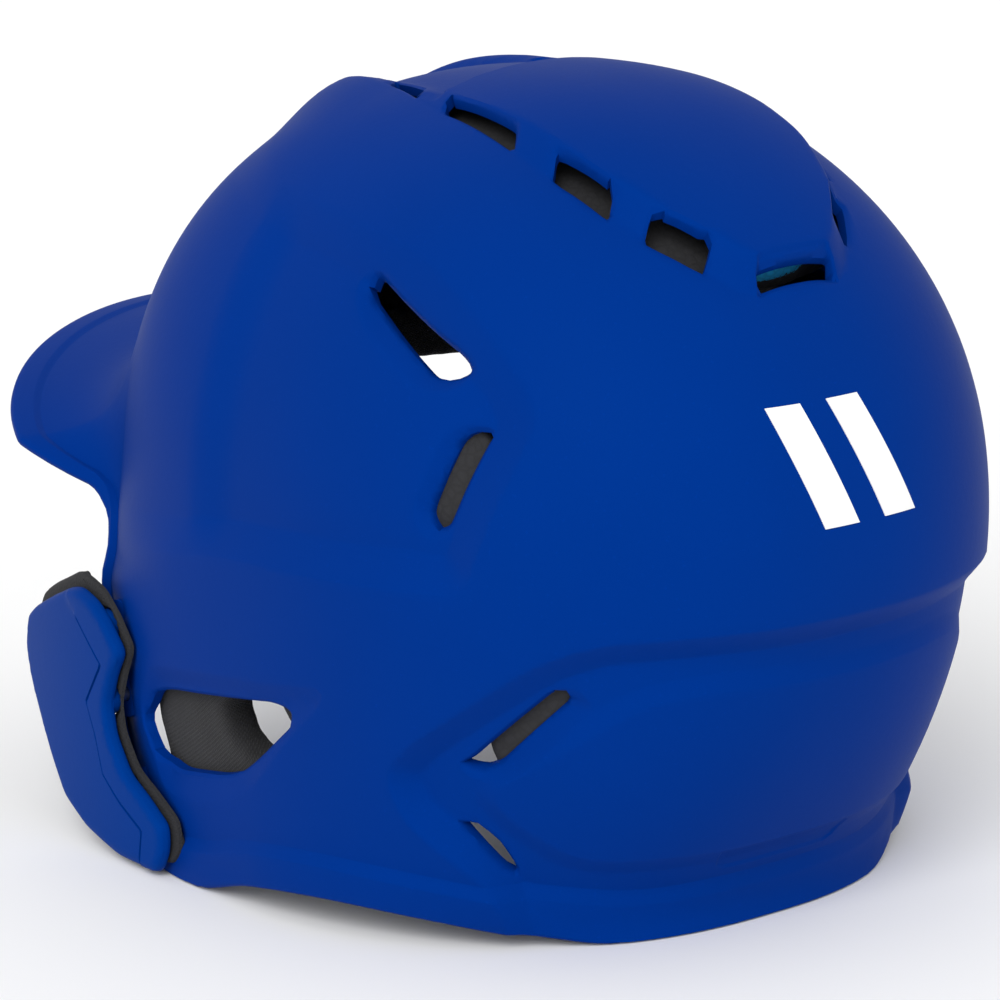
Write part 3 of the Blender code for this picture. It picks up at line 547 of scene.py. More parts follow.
def relief(p, drops, bill):
    """How far the moulding stands out of the plain surface, in millimetres."""
    x, y, z = p.T
    near_rim = ease((drops - 2) / RIM_SHARE + 1)
    back = ease((y + 75) / 45)
    fade = (0.45 + 0.55 * ease((y + 26) / 18)) * back
    temple = -RECESS_DEPTH * (ramp(-LINES["temple"](p) / RECESS_BAND) * fade + 0.4 * (1 - back))
    out = temple * ease((z - 60) / 10)
    out -= RECESS_DEPTH * ramp(-LINES["nape"](p) / NAPE_BAND) * (1 - 0.6 * near_rim)
    out += NAPE_PANEL_RISE * ramp(-LINES["nape_panel"](p) / NAPE_PANEL_BAND)
    out -= EAR_FACET_DEPTH * ramp(-LINES["ear_facet"](p) / EAR_FACET_BAND)
    out += crown_relief(y, z, LINES["panel"](p), wing_line(p))
    for name in ("upper_scoop", "lower_scoop", "nape_scoop"):
        out -= SCOOP_DEPTH * ramp(-LINES[name](p) / SCOOP_BAND)
    out -= TAB_DEPTH * ramp(-LINES["tab"](p) / TAB_BAND)
    out -= 0.8 * ramp(-LINES["rear_scoop"](p) / 0.8)
    lip = np.interp(drops, [1.918, 1.936, 1.942, 2.0], [0, 0.74, 0.84, 1.0])
    return out + lip * LIP_OUT * (1 - 0.6 * bill)


def crown_relief(y, z, off_panel, gap):
    """The raised panel along the crown, and the two proud wings in front of it."""
    rise = PANEL_RISE * ease((y + 30) / 90) * (1 - ramp(off_panel / PANEL_WALL))
    wing = WING_RISE * ease((y + 110) / 40) * (1 - ease((y + 66) / 46))
    wing = wing * ramp((gap + 3) / 5) * (1 - ease((gap - 2) / 24))
    valley = VALLEY_DEPTH * ease((y + 90) / 40) * (1 - ease((y + 20) / 50)) * (1 - ease((gap + 6) / 6))
    return (rise + wing - valley) * ease((z - 118) / 20)


# ---------------------------------------------------------------- a mesh that follows lines


class Skin:
    """Triangles over a chart of two numbers, which can be cut along lines measured on the surface."""

    def __init__(self, chart, at, faces, border):
        self.chart, self.at, self.faces = chart, at, faces
        self.held = border.copy()
        self.spots = chart(at)

    def meeting(self, line, level, a, b, value):
        """Where each edge from a to b meets the line, on the chart."""
        low, high = self.at[a], self.at[b]
        low_value, high_value = value[a], value[b]
        for _ in range(4):
            share = (low_value / (low_value - high_value))[:, None]
            middle = low + share * (high - low)
            found = line(self.chart(middle)) - level
            same = (found > 0) == (low_value > 0)
            low, low_value = np.where(same[:, None], middle, low), np.where(same, found, low_value)
            high, high_value = np.where(same[:, None], high, middle), np.where(same, high_value, found)
            low_value = np.where(np.abs(low_value) < 1e-9, np.copysign(1e-9, low_value), low_value)
        share = (low_value / (low_value - high_value + 1e-12))[:, None]
        return low + share * (high - low)

    def cut(self, line, level=0.0, pull=0.3):
        """Splits the triangles along the line, after pulling the nearest free points onto it."""
        value = line(self.spots) - level
        value[np.abs(value) < 0.04] = 0
        ends = np.sort(self.faces[:, [[0, 1], [1, 2], [2, 0]]].reshape(-1, 2), axis=1)
        codes = ends[:, 0] * len(value) + ends[:, 1]
        _, first, back = np.unique(codes, return_index=True, return_inverse=True)
        a, b = ends[first].T
        crossing = value[a] * value[b] < 0
        if not crossing.any():
            return
        near, far = a[crossing], b[crossing]
        meets = self.meeting(line, level, near, far, value)
        span = self.at[far] - self.at[near]
        share = np.sum((meets - self.at[near]) * span, axis=1) / np.maximum(np.sum(span**2, axis=1), 1e-18)
        closest, gap = np.where(share < 0.5, near, far), np.minimum(share, 1 - share)
        free = (gap < pull) & ~self.held[closest]
        order = np.argsort(gap[free], kind="stable")
        moved, pick = np.unique(closest[free][order], return_index=True)
        self.at[moved] = meets[free][order][pick]
        self.spots[moved] = self.chart(self.at[moved]) if len(moved) else self.spots[moved]
        value[moved] = 0
        self.held |= value == 0
        self.split(line, level, value, a, b, back.reshape(-1, 3))

    def split(self, line, level, value, a, b, back):
        crossing = value[a] * value[b] < 0
        index = np.full(len(a), -1)
        index[crossing] = len(value) + np.arange(crossing.sum())
        if crossing.any():
            made = self.meeting(line, level, a[crossing], b[crossing], value)
            self.at = np.vstack([self.at, made])
            self.spots = np.vstack([self.spots, self.chart(made)])
            self.held = np.concatenate([self.held, np.ones(len(made), bool)])
        marks = index[back]
        count = (marks >= 0).sum(axis=1)
        parts = [self.faces[count == 0]]
        for edge in range(3):
            i, j, k = edge, (edge + 1) % 3, (edge + 2) % 3
            one = (count == 1) & (marks[:, i] >= 0)
            f, m = self.faces[one], marks[one, i]
            parts += [np.stack([f[:, i], m, f[:, k]], 1), np.stack([m, f[:, j], f[:, k]], 1)]
            two = (count == 2) & (marks[:, i] < 0)
            f, m, n = self.faces[two], marks[two, j], marks[two, k]
            parts.append(np.stack([m, f[:, k], n], 1))
            short = self.length(f[:, i], m) < self.length(f[:, j], n)
            parts.append(np.stack([f[:, i], f[:, j], np.where(short, m, n)], 1))
            parts.append(np.stack([np.where(short, f[:, i], f[:, j]), m, n], 1))
        self.faces = np.concatenate(parts)

    def length(self, a, b):
        return np.linalg.norm(self.spots[a] - self.spots[b], axis=1)

    def keep(self, line):
        """Keeps only the triangles outside the line, and the points that they use."""
        middle = self.spots[self.faces].mean(axis=1)
        self.faces = self.faces[line(middle) > 0]
        used, back = np.unique(self.faces, return_inverse=True)
        self.faces = back.reshape(-1, 3)
        self.at, self.spots, self.held = self.at[used], self.spots[used], self.held[used]

    def border(self):
        """The directed edges that only one triangle has."""
        ends = self.faces[:, [[0, 1], [1, 2], [2, 0]]].reshape(-1, 2)
        low, high = np.sort(ends, axis=1).T
        _, back, times = np.unique(low * len(self.at) + high, return_inverse=True, return_counts=True)
        return ends[times[back] == 1]


def grid_faces(columns, rows, start=0):
    """Triangles of a grid of points numbered along its columns first."""
    i, j = np.meshgrid(np.arange(columns - 1), np.arange(rows - 1), indexing="ij")
    a = (start + i * rows + j).ravel()
    b, c, d = a + rows, a + rows + 1, a + 1
    return np.concatenate([np.stack([a, d, c], 1), np.stack([a, c, b], 1)])


def thicken(outer, inner, faces, border, edge_points=()):
    """Points and faces of a wall: two faces, and strips through the edge points between them."""
    count = len(outer)
    points, all_faces = [outer], [faces]
    layers = [np.arange(count)]
    for layer in edge_points:
        layers.append(np.arange(count) + count * len(points))
        points.append(layer)
    layers.append(np.arange(count) + count * len(points))
    points.append(inner)
    all_faces.append(faces[:, ::-1] + count * (len(points) - 1))
    for upper, lower in zip(layers, layers[1:]):
        a, b = upper[border[:, 0]], upper[border[:, 1]]
        c, d = lower[border[:, 1]], lower[border[:, 0]]
        all_faces += [np.stack([b, a, d], 1), np.stack([b, d, c], 1)]
    return np.concatenate(points), np.concatenate(all_faces)


def to_part_frame(points):
    """From the dome's own centre to the part's frame, in metres."""
    x, y, z = points[:, 0], points[:, 1], points[:, 2]
    cosine, sine = math.cos(RAKE), math.sin(RAKE)
    return np.stack([x, y * cosine + z * sine + CENTRE_Y, z * cosine - y * sine + LIFT], axis=-1) * MM


def mesh_object(name, points, faces, look, sharp=38):
    """An object from points in metres, welded and shaded smooth except at its sharp edges."""
    used, back = np.unique(faces, return_inverse=True)
    mesh = bpy.data.meshes.new(name)
    mesh.from_pydata(points[used].tolist(), [], back.reshape(-1, faces.shape[1]).tolist())
    block = bmesh.new()
    block.from_mesh(mesh)
    bmesh.ops.remove_doubles(block, verts=block.verts, dist=2e-6)
    bmesh.ops.dissolve_degenerate(block, edges=block.edges, dist=1e-7)
    block.to_mesh(mesh)
    block.free()
    mesh.shade_smooth()
    mesh.set_sharp_from_angle(angle=math.radians(sharp))
    mesh.materials.append(look)
    obj = bpy.data.objects.new(name, mesh)
    bpy.context.scene.collection.objects.link(obj)
    shading = obj.modifiers.new("Shading", "WEIGHTED_NORMAL")
    shading.keep_sharp = True
    settle(obj)
    return obj


def stand_for(obj, slot, *nodes):
    """Ties a finished piece to the frame."""
    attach(obj, "root")
    if nodes:
        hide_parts(*nodes)
    return obj


# ---------------------------------------------------------------- the shell


def half_shell(columns):
    places = np.linspace(0, 1, columns + 1)
    rows = np.concatenate([
        np.linspace(0.025, 1, 42), np.linspace(1, 1.905, 50)[1:],
        [1.914, 1.918, 1.927, 1.936, 1.942, 1.96, 1.98, 2.0],
    ])
    at = np.array([(p, d) for p in places for d in rows])
    faces = grid_faces(len(places), len(rows))
    pole = len(at)
    first = np.arange(columns) * len(rows)
    cap = np.stack([np.full(columns, pole), first, first + len(rows)], 1)
    at = np.vstack([at, [[0.5, 0.0]]])
    border = (at[:, 0] == 0) | (at[:, 0] == 1) | (at[:, 1] == 2) | (at[:, 1] < 0.03)
    return Skin(shell_chart, at, np.concatenate([faces, cap]), border)


def follow_moulding(skin, edge_round, screws):
    for name, band in FOLLOWED.items():
        half = CREASE_HALF if abs(band) > 2 else 0.15
        for level in (half, -half, half - band, -half - band):
            skin.cut(LINES[name], level)
    for level in (-3.5, -2.5, 1.5, 2.5):
        skin.cut(wing_line, level)
    for line in OPENINGS:
        skin.cut(line, 0.0)
        skin.cut(line, edge_round)
        skin.keep(line)
    if screws:
        skin.cut(screw_line)
        skin.keep(screw_line)


def shell_side(skin, wall, edge_round):
    """Points and faces of one side of the shell, in millimetres."""
    normal, down = shell_normal(skin.at)
    middle = (skin.at[:, 0] == 0) | (skin.at[:, 0] == 1) | (skin.at[:, 1] == 0)
    normal[middle, 0] = 0
    bill = columns_at(skin.at[:, 0])[4]
    out = relief(skin.spots, skin.at[:, 1], bill)
    gap = opening_distance(skin.spots)
    rolled = 0.8 * edge_round * (1 - ramp(gap / edge_round)) ** 2
    outer = skin.spots + normal * (out - rolled)[:, None]
    inner = skin.spots + normal * (out - wall)[:, None]
    for layer in (outer, inner):
        layer[middle, 0] = 0
    border = skin.border()
    on_middle = middle[border].all(axis=1)
    on_rim = (skin.at[border][:, :, 1] == 2).all(axis=1)
    points, faces = thicken(outer, inner, skin.faces, border[~on_middle & ~on_rim])
    turns = np.linspace(0, math.pi, 6)[1:-1]
    rim = [
        (outer + inner) / 2 + (outer - inner) / 2 * math.cos(t) + down * wall * 0.42 * math.sin(t)
        for t in turns
    ]
    for layer in rim:
        layer[middle, 0] = 0
    more, strips = thicken(outer, inner, skin.faces[:0], border[on_rim], rim)
    return np.concatenate([points, more]), np.concatenate([faces, strips + len(points)])


def seat_ring(y, z):
    """A flat round seat inside the left ear flap, for one washer."""
    turns = np.linspace(0, 2 * math.pi, 40, endpoint=False)
    wall = flank_chart(np.array([[y + SEAT_RADIUS, z]]))[0, 0]
    profile = [
        (SCREW_RADIUS + 0.3, wall - 1), (SCREW_RADIUS + 0.3, SEAT_X + 0.1), (SCREW_RADIUS + 0.5, SEAT_X),
        (SEAT_RADIUS - 0.6, SEAT_X), (SEAT_RADIUS - 0.15, SEAT_X + 0.2), (SEAT_RADIUS, SEAT_X + 0.6),
        (SEAT_RADIUS + 0.4, wall - 1),
    ]
    return lathe(profile, y, z, turns)


def lathe(profile, y, z, turns):
    """A closed turned ring on an axis along X, from (radius, x) pairs."""
    rings = np.array([[(x, y + r * math.cos(t), z + r * math.sin(t)) for r, x in profile] for t in turns])
    points = rings.reshape(-1, 3)
    count, rows = len(turns), len(profile)
    i, j = np.meshgrid(np.arange(count), np.arange(rows), indexing="ij")
    a = (i * rows + j).ravel()
    b = ((i + 1) % count * rows + j).ravel()
    c = ((i + 1) % count * rows + (j + 1) % rows).ravel()
    d = (i * rows + (j + 1) % rows).ravel()
    return points, np.concatenate([np.stack([a, b, c], 1), np.stack([a, c, d], 1)])


def build_shell(settings):
    wall, edge_round = settings.wall / MM, settings.edge_round / MM
    left = half_shell(settings.columns)
    follow_moulding(left, edge_round, True)
    right = half_shell(settings.columns)
    follow_moulding(right, edge_round, False)
    points, faces = shell_side(left, wall, edge_round)
    other, other_faces = shell_side(right, wall, edge_round)
    other[:, 0] *= -1
    all_points, all_faces = [points, other], [faces, other_faces[:, ::-1] + len(points)]
    total = len(points) + len(other)
    for y, z in SCREWS.values():
        ring, ring_faces = seat_ring(y, z)
        all_points.append(ring)
        all_faces.append(outward(ring, ring_faces) + total)
        total += len(ring)
    placed = to_part_frame(np.concatenate(all_points))
    placed[:, 2] = np.maximum(placed[:, 2], 0)
    look = moulded_look("shell_plastic", settings.colour, settings.roughness)
    shell = mesh_object("moulded_shell", placed, np.concatenate(all_faces), look)
    return stand_for(shell, "shell_plastic", "outer_shell")


def outward(points, faces):
    """The faces of a closed piece, turned so that they point outwards."""
    volume = np.linalg.det(points[faces] - points.mean(axis=0)).sum()
    return faces if volume > 0 else faces[:, ::-1]


# ---------------------------------------------------------------- charts of the other pieces


def below(chart, at, depth):
    """Points at a depth below a chart's surface, in millimetres."""
    point = chart(at)
    across = chart(at + [1e-3, 0]) - chart(at - [1e-3, 0])
    along = chart(at + [0, 1e-3]) - chart(at - [0, 1e-3])
    normal = np.cross(across, along)
    normal /= np.linalg.norm(normal, axis=-1, keepdims=True)
    normal *= np.sign(np.sum(normal * (point - [0, 0, 60.0]), axis=-1, keepdims=True))
    return point - normal * np.reshape(depth, (-1, 1))


def wall_chart(at):
    return dome_point(np.radians(at[:, 0]), at[:, 1])


def crown_chart(at):
    angle = np.arctan2(at[:, 1], at[:, 0])
    share = np.hypot(at[:, 0], at[:, 1]) / wall_radius(angle, np.full_like(angle, WIDEST_Z))
    height = WIDEST_Z + CROWN_RISE * (1 - np.minimum(share, 1) ** CROWN_POWER) ** (1 / CROWN_POWER)
    return np.column_stack([at, height])


def flank_chart(at):
    """The plain dome's left flank by its side view position."""
    x = np.full(len(at), 90.0)
    for _ in range(8):
        radius = wall_radius(np.arctan2(at[:, 0], x), at[:, 1])
        x = np.sqrt(np.maximum(radius**2 - at[:, 0] ** 2, 1.0))
    return np.column_stack([x, at])


def guard_chart(at):
    bend = np.maximum(GUARD_BEND_FROM - at[:, 0], 0)
    return np.column_stack([GUARD_X - GUARD_BEND * bend**2, at])


# ---------------------------------------------------------------- the jaw guard


GUARD_OUTLINE = round_corners(GUARD_REAR + GUARD_FRONT[::-1], 2.5)
GUARD_FOAM_OUTLINE = round_corners(GUARD_FOAM, 2.5)


def guard_line(p):
    return -signed_distance(p[:, 1], p[:, 2], GUARD_OUTLINE)


def foam_line(p):
    return -signed_distance(p[:, 1], p[:, 2], GUARD_FOAM_OUTLINE)


def groove_side(p):
    """Signed distance from the engraved line, closed behind the guard's rear edge."""
    loop = GUARD_GROOVE + [(-48.2, -30), (0, -30), (0, 90), (-84, 90), (-84, 58)]
    return signed_distance(p[:, 1], p[:, 2], loop)


def groove_gap(p):
    """Distance from the engraved line itself."""
    nearest = np.full(len(p), 1e9)
    for (ay, az), (by, bz) in zip(GUARD_GROOVE, GUARD_GROOVE[1:]):
        dy, dz = by - ay, bz - az
        along = np.clip(((p[:, 1] - ay) * dy + (p[:, 2] - az) * dz) / (dy * dy + dz * dz), 0, 1)
        nearest = np.minimum(nearest, np.hypot(p[:, 1] - ay - along * dy, p[:, 2] - az - along * dz))
    return nearest


def facet_line(p):
    """Distance below the crease across the guard's upper front corner."""
    return (64 - p[:, 2]) * 0.86 + (p[:, 1] + 80) * 0.5


def guard_skin(line, lines, holes=(), step=1.5):
    y, z = np.arange(-122, -28, step), np.arange(-12, 70, step)
    at = np.array([(a, b) for a in y for b in z])
    skin = Skin(guard_chart, at, grid_faces(len(y), len(z)), np.zeros(len(at), bool))
    for other, level in lines:
        skin.cut(other, level)
    for level in (0.0, 0.35, 1.0, 2.2):
        skin.cut(line, level)
    for other in (line, *holes):
        skin.keep(other)
    along = guard_chart(skin.at + [1e-3, 0]) - skin.spots
    across = guard_chart(skin.at + [0, 1e-3]) - skin.spots
    normal = np.cross(along, across)
    normal /= np.linalg.norm(normal, axis=1, keepdims=True)
    return skin, normal * np.sign(normal[:, :1])


def rolled_edge(gap, radius):
    """How far a rounded edge falls at a distance inside the outline."""
    part = ramp(1 - gap / radius)
    return radius * (1 - np.sqrt(1 - part**2))


def build_guard(settings):
    wall = settings.wall / MM
    lines = [(groove_side, 0.0), (groove_gap, 0.7), (groove_gap, 0.25), (facet_line, 0.4), (facet_line, -0.4)]
    skin, normal = guard_skin(guard_line, lines)
    gap = guard_line(skin.spots)
    engraved = settings.groove / MM * ramp((0.7 - groove_gap(skin.spots)) / 0.45)
    raised = 0.45 * ramp(1 - (groove_side(skin.spots) + 0.4) / 0.8)
    facet = 0.3 * np.maximum(-facet_line(skin.spots), 0)
    out = raised - engraved - facet - rolled_edge(gap, 2.2)
    outer = skin.spots + normal * out[:, None]
    inner = skin.spots - normal * (wall + np.minimum(facet, 1.5) - 0.6 * rolled_edge(gap, 1.0))[:, None]
    inner[:, 0] = np.minimum(inner[:, 0], outer[:, 0] - 0.3)
    border = skin.border()
    points, faces = thicken(outer, inner, skin.faces, border[:, ::-1])
    faces = outward(points, faces)
    total, all_points, all_faces = len(points), [points], [faces]
    turns = np.linspace(0, 2 * math.pi, 32, endpoint=False)
    for y, z in SCREWS.values():
        top = float(guard_chart(np.array([[y, z]]))[0, 0]) - wall + 1.0
        profile = [
            (SCREW_RADIUS + 0.2, top), (SCREW_RADIUS + 0.2, BOSS_X), (BOSS_RADIUS - 0.5, BOSS_X),
            (BOSS_RADIUS, BOSS_X + 0.5), (BOSS_RADIUS, top),
        ]
        boss, boss_faces = lathe(profile, y, z, turns)
        all_points.append(boss)
        all_faces.append(outward(boss, boss_faces) + total)
        total += len(boss)
    look = moulded_look("guard_plastic", settings.colour, settings.roughness)
    placed = to_part_frame(np.concatenate(all_points))
    guard = mesh_object("jaw_guard_moulding", placed, np.concatenate(all_faces), look)
    return stand_for(guard, "guard_plastic", "jaw_guard")


def build_guard_foam(settings, wall):
    """The closed-cell foam between the guard and the ear flap."""
    skin, normal = guard_skin(foam_line, [(boss_line, 0.0)], [boss_line])
    gap = np.minimum(foam_line(skin.spots), boss_line(skin.spots))
    outer = skin.spots - normal * (wall + 0.5 + rolled_edge(gap, 1.2))[:, None]
    at = np.column_stack([np.maximum(skin.at[:, 0], -78), skin.at[:, 1]])
    flank = flank_chart(at)[:, 0]
    lip = np.maximum(ease((16 - skin.at[:, 1]) / 12), ease((-56 - skin.at[:, 0]) / 8)) * (LIP_OUT + 1.1)
    clear = flank + 0.8 + lip - 0.2 * np.maximum(-84 - skin.at[:, 0], 0)
    depth = skin.spots[:, 0] - wall - 8.4 + rolled_edge(gap, 2.2)
    inner = skin.spots.copy()
    inner[:, 0] = np.maximum(depth, np.minimum(clear + rolled_edge(gap, 2.2) * 0.5, outer[:, 0] - 0.6))
    behind = ramp(1 - foam_line(skin.spots) / 22) * ease((skin.at[:, 0] + 84) / 14)
    behind = behind * ramp(boss_line(skin.spots) / 5)
    inner[:, 1] -= FOAM_TAPER * behind * ease((skin.at[:, 1] - 2) / 10)
    points, faces = thicken(outer, inner, skin.faces, skin.border()[:, ::-1])
    look = foam_look("closed_foam", settings.closed_colour, 1500, 0.6)
    pad = mesh_object("jaw_guard_foam", to_part_frame(points), outward(points, faces), look)
    stand_for(pad, "closed_foam", "jaw_guard_pad")
    return pad


def boss_line(p):
    gaps = [np.hypot(p[:, 1] - y, p[:, 2] - z) - BOSS_RADIUS - 0.4 for y, z in SCREWS.values()]
    return np.min(gaps, axis=0)


# ---------------------------------------------------------------- the foam liners


def edge_lines(half, radius, step):
    """Places from -1 to 1 across a block, close together where its edge is rounded."""
    inside = np.linspace(-half + radius, half - radius, max(4, int(2 * (half - radius) / step)))
    lead = radius * np.array([0, 0.08, 0.3, 0.6])
    return np.concatenate([-half + lead, inside, half - lead[::-1]]) / half


def foam_block(name, place, half, depth, thick, channels, settings, look):
    """A block of foam with rounded edges and air channels on its inner face."""
    radius, groove = settings.edge_round / MM, settings.groove / MM
    u, v = edge_lines(half[0], radius, 2.2), edge_lines(half[1], radius, 2.2)
    grid = np.array([(a, b) for a in u for b in v])
    reach = np.minimum((1 - np.abs(grid[:, 0])) * half[0], (1 - np.abs(grid[:, 1])) * half[1])
    drop = rolled_edge(reach, radius)
    cut = np.zeros(len(grid))
    for axis, at, width in channels:
        cut = np.maximum(cut, 1 - ease((np.abs(grid[:, axis] * half[axis] - at) - width / 2 + 0.8) / 1.6))
    outer = place(grid, depth + drop)
    inner = place(grid, depth + thick - drop - groove * cut * (1 - ramp(drop / radius)))
    faces = grid_faces(len(u), len(v))
    skin = Skin(lambda at: np.column_stack([at, at[:, 0]]), grid, faces, np.zeros(len(grid), bool))
    points, faces = thicken(outer, inner, faces, skin.border())
    placed = to_part_frame(points)
    liner = mesh_object(f"{name}_foam", placed, outward(placed, faces), look, 60)
    stand_for(liner, "impact_foam", name)
    return liner


def rounded(grid, squareness):
    """Moves places on the square towards a circle."""
    pull = (1 - squareness) / 2
    u, v = grid.T
    return u * np.sqrt(1 - pull * v**2), v * np.sqrt(1 - pull * u**2)


def wall_place(degrees, heights, squareness=0.45):
    def place(grid, depth):
        a, b = rounded(grid, squareness)
        turn = (degrees[0] + degrees[1]) / 2 + a * (degrees[1] - degrees[0]) / 2
        height = (heights[0] + heights[1]) / 2 + b * (heights[1] - heights[0]) / 2
        return below(wall_chart, np.column_stack([turn, height]), depth)

    return place


def crown_place(centre_y, half):
    def place(grid, depth):
        a, b = rounded(grid, 0.1)
        at = np.column_stack([a * half[0] + 1e-4, centre_y + b * half[1] + 1e-4])
        return below(crown_chart, at, depth)

    return place


def build_liners(settings):
    look = foam_look("impact_foam", settings.impact_colour, 420, 0.35)
    crown_look = foam_look("crown_foam", settings.impact_colour, 420, 0.35, settings.tail_colour)
    channels = [(0, -26, 9), (0, 26, 9), (1, -34, 8), (1, 22, 8)]
    centre, half = CROWN_LINER
    foam_block(
        "crown_liner", crown_place(centre, half), half, CROWN_LINER_DEPTH, CROWN_LINER_THICK,
        channels, settings, crown_look,
    )
    for name, (degrees, heights) in {"brow_liner": BROW_LINER, **WALL_LINERS}.items():
        wide = abs(degrees[1] - degrees[0]) * DEGREE_ARC / 2
        tall = (heights[1] - heights[0]) / 2
        brow = name == "brow_liner"
        depth = CROWN_LINER_DEPTH if brow else LINER_DEPTH
        thick = CROWN_LINER_THICK if brow else LINER_THICK
        channels = [(0, -wide * 0.36, 6), (0, wide * 0.36, 6), (1, tall * 0.1, 5)]
        foam_block(name, wall_place(degrees, heights), (wide, tall), depth, thick, channels, settings, look)


# ---------------------------------------------------------------- the soft pads


def start_pad(node, voxel):
    """A closed, evenly meshed copy of a pad's solid, a little smaller than it."""
    block = bmesh.new()
    block.from_mesh(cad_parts[node].data)
    bmesh.ops.remove_doubles(block, verts=block.verts, dist=1e-5)
    bmesh.ops.recalc_face_normals(block, faces=block.faces)
    block.normal_update()
    for vert in block.verts:
        vert.co -= vert.normal * 0.0005
    mesh = bpy.data.meshes.new(f"{node}_cover")
    block.to_mesh(mesh)
    block.free()
    obj = bpy.data.objects.new(f"{node}_cover", mesh)
    bpy.context.scene.collection.objects.link(obj)
    remesh = obj.modifiers.new("Even", "REMESH")
    remesh.mode = "VOXEL"
    remesh.voxel_size = voxel
    settle(obj)
    return obj


def settle(obj):
    """Replaces an object's mesh by what its modifiers make, and removes them."""
    bpy.context.view_layer.update()
    graph = bpy.context.evaluated_depsgraph_get()
    made = bpy.data.meshes.new_from_object(obj.evaluated_get(graph))
    obj.modifiers.clear()
    obj.data = made


def points_of(mesh):
    found = np.zeros(len(mesh.vertices) * 3)
    mesh.vertices.foreach_get("co", found)
    return found.reshape(-1, 3)


def normals_of(mesh):
    found = np.zeros(len(mesh.vertices) * 3)
    mesh.vertices.foreach_get("normal", found)
    return found.reshape(-1, 3)


def swell(pads, pressure, rise):
    """Blows the pads up as cloth, all together, and holds how far each point may move."""
    for pad in pads:
        cloth = pad.modifiers.new("Filling", "CLOTH")
        cloth.settings.quality = 5
        cloth.settings.mass = 0.2
        cloth.settings.use_pressure = True
        cloth.settings.uniform_pressure_force = pressure
        cloth.settings.effector_weights.gravity = 0
        cloth.collision_settings.use_collision = False
        cloth.collision_settings.use_self_collision = False
    for step in range(1, 21):
        bpy.context.scene.frame_set(step)
    graph = bpy.context.evaluated_depsgraph_get()
    for pad in pads:
        moved = points_of(pad.evaluated_get(graph).data)
        start, normal = points_of(pad.data), normals_of(pad.data)
        facing = away_from_head(start, normal)
        limit = rise * np.where(facing > 0.3, 0.12, np.where(facing > -0.5, 0.6, 1.0))
        step = moved - start
        size = np.linalg.norm(step, axis=1)
        step *= (limit * np.tanh(size / limit) / np.maximum(size, 1e-9))[:, None]
        pad.modifiers.clear()
        pad.data.vertices.foreach_set("co", (start + step).ravel())
        pad.data.update()
    bpy.context.scene.frame_set(1)


def away_from_head(points, normals):
    """1 where a point faces the shell, -1 where it faces the head."""
    middle = np.array([0, 0.02, 0.085])
    away = points - middle
    away /= np.linalg.norm(away, axis=1, keepdims=True)
    return np.sum(away * normals, axis=1)


def finish_pad(pad, look, node):
    smooth = pad.modifiers.new("Relax", "SMOOTH")
    smooth.factor = 0.5
    smooth.iterations = 3
    finer = pad.modifiers.new("Finer", "SUBSURF")
    finer.levels = finer.render_levels = 1
    settle(pad)
    pad.data.materials.clear()
    pad.data.materials.append(look)
    pad.data.shade_smooth()
    stand_for(pad, "lining_fabric", node)


def build_pads(nodes, voxel, settings):
    pads = [start_pad(node, voxel) for node in nodes]
    swell(pads, settings.pressure, settings.rise)
    look = fabric_look("lining_fabric", settings.colour)
    for pad, node in zip(pads, nodes):
        finish_pad(pad, look, node)
    return pads


# ---------------------------------------------------------------- fasteners and the mark


def screw_profile(length):
    head, tall = SCREW_HEAD_RADIUS, SCREW_HEAD_TALL
    return [
        (0.01, -tall * 0.35), (0.9, -tall * 0.42), (1.3, -tall * 0.9), (1.7, -tall), (head * 0.62, -tall * 0.97),
        (head * 0.86, -tall * 0.72), (head * 0.98, -tall * 0.3), (head, -0.15), (head - 0.1, 0),
        (SCREW_RADIUS, 0), (SCREW_RADIUS, length - 0.8), (SCREW_RADIUS * 0.5, length), (0.01, length),
    ]


def washer_profile():
    hole, edge, tall = WASHER_HOLE, WASHER_RADIUS, WASHER_TALL
    return [
        (hole, -tall + 0.15), (hole + 0.15, -tall), (edge - 0.25, -tall), (edge, -tall + 0.25),
        (edge, -0.2), (edge - 0.2, 0), (hole + 0.15, 0), (hole, -0.15),
    ]


def placing_tree(look):
    """Geometry Nodes: sets one turned piece at a place, turned about its axis."""
    tree = bpy.data.node_groups.new("Set in place", "GeometryNodeTree")
    sockets = (("Piece", "NodeSocketGeometry"), ("Place", "NodeSocketVector"), ("Turn", "NodeSocketFloat"))
    for name, kind in sockets:
        tree.interface.new_socket(name, in_out="INPUT", socket_type=kind)
    tree.interface.new_socket("Result", in_out="OUTPUT", socket_type="NodeSocketGeometry")
    nodes, links = tree.nodes, tree.links
    given, made = nodes.new("NodeGroupInput"), nodes.new("NodeGroupOutput")
    point, turn = nodes.new("GeometryNodePoints"), nodes.new("ShaderNodeCombineXYZ")
    spread, real = nodes.new("GeometryNodeInstanceOnPoints"), nodes.new("GeometryNodeRealizeInstances")
    finish = nodes.new("GeometryNodeSetMaterial")
    finish.inputs["Material"].default_value = look
    links.new(given.outputs["Place"], point.inputs["Position"])
    links.new(given.outputs["Turn"], turn.inputs["X"])
    links.new(point.outputs[0], spread.inputs["Points"])
    links.new(given.outputs["Piece"], spread.inputs["Instance"])
    links.new(turn.outputs[0], spread.inputs["Rotation"])
    links.new(spread.outputs[0], real.inputs[0])
    links.new(real.outputs[0], finish.inputs["Geometry"])
    links.new(finish.outputs[0], made.inputs[0])
    return tree


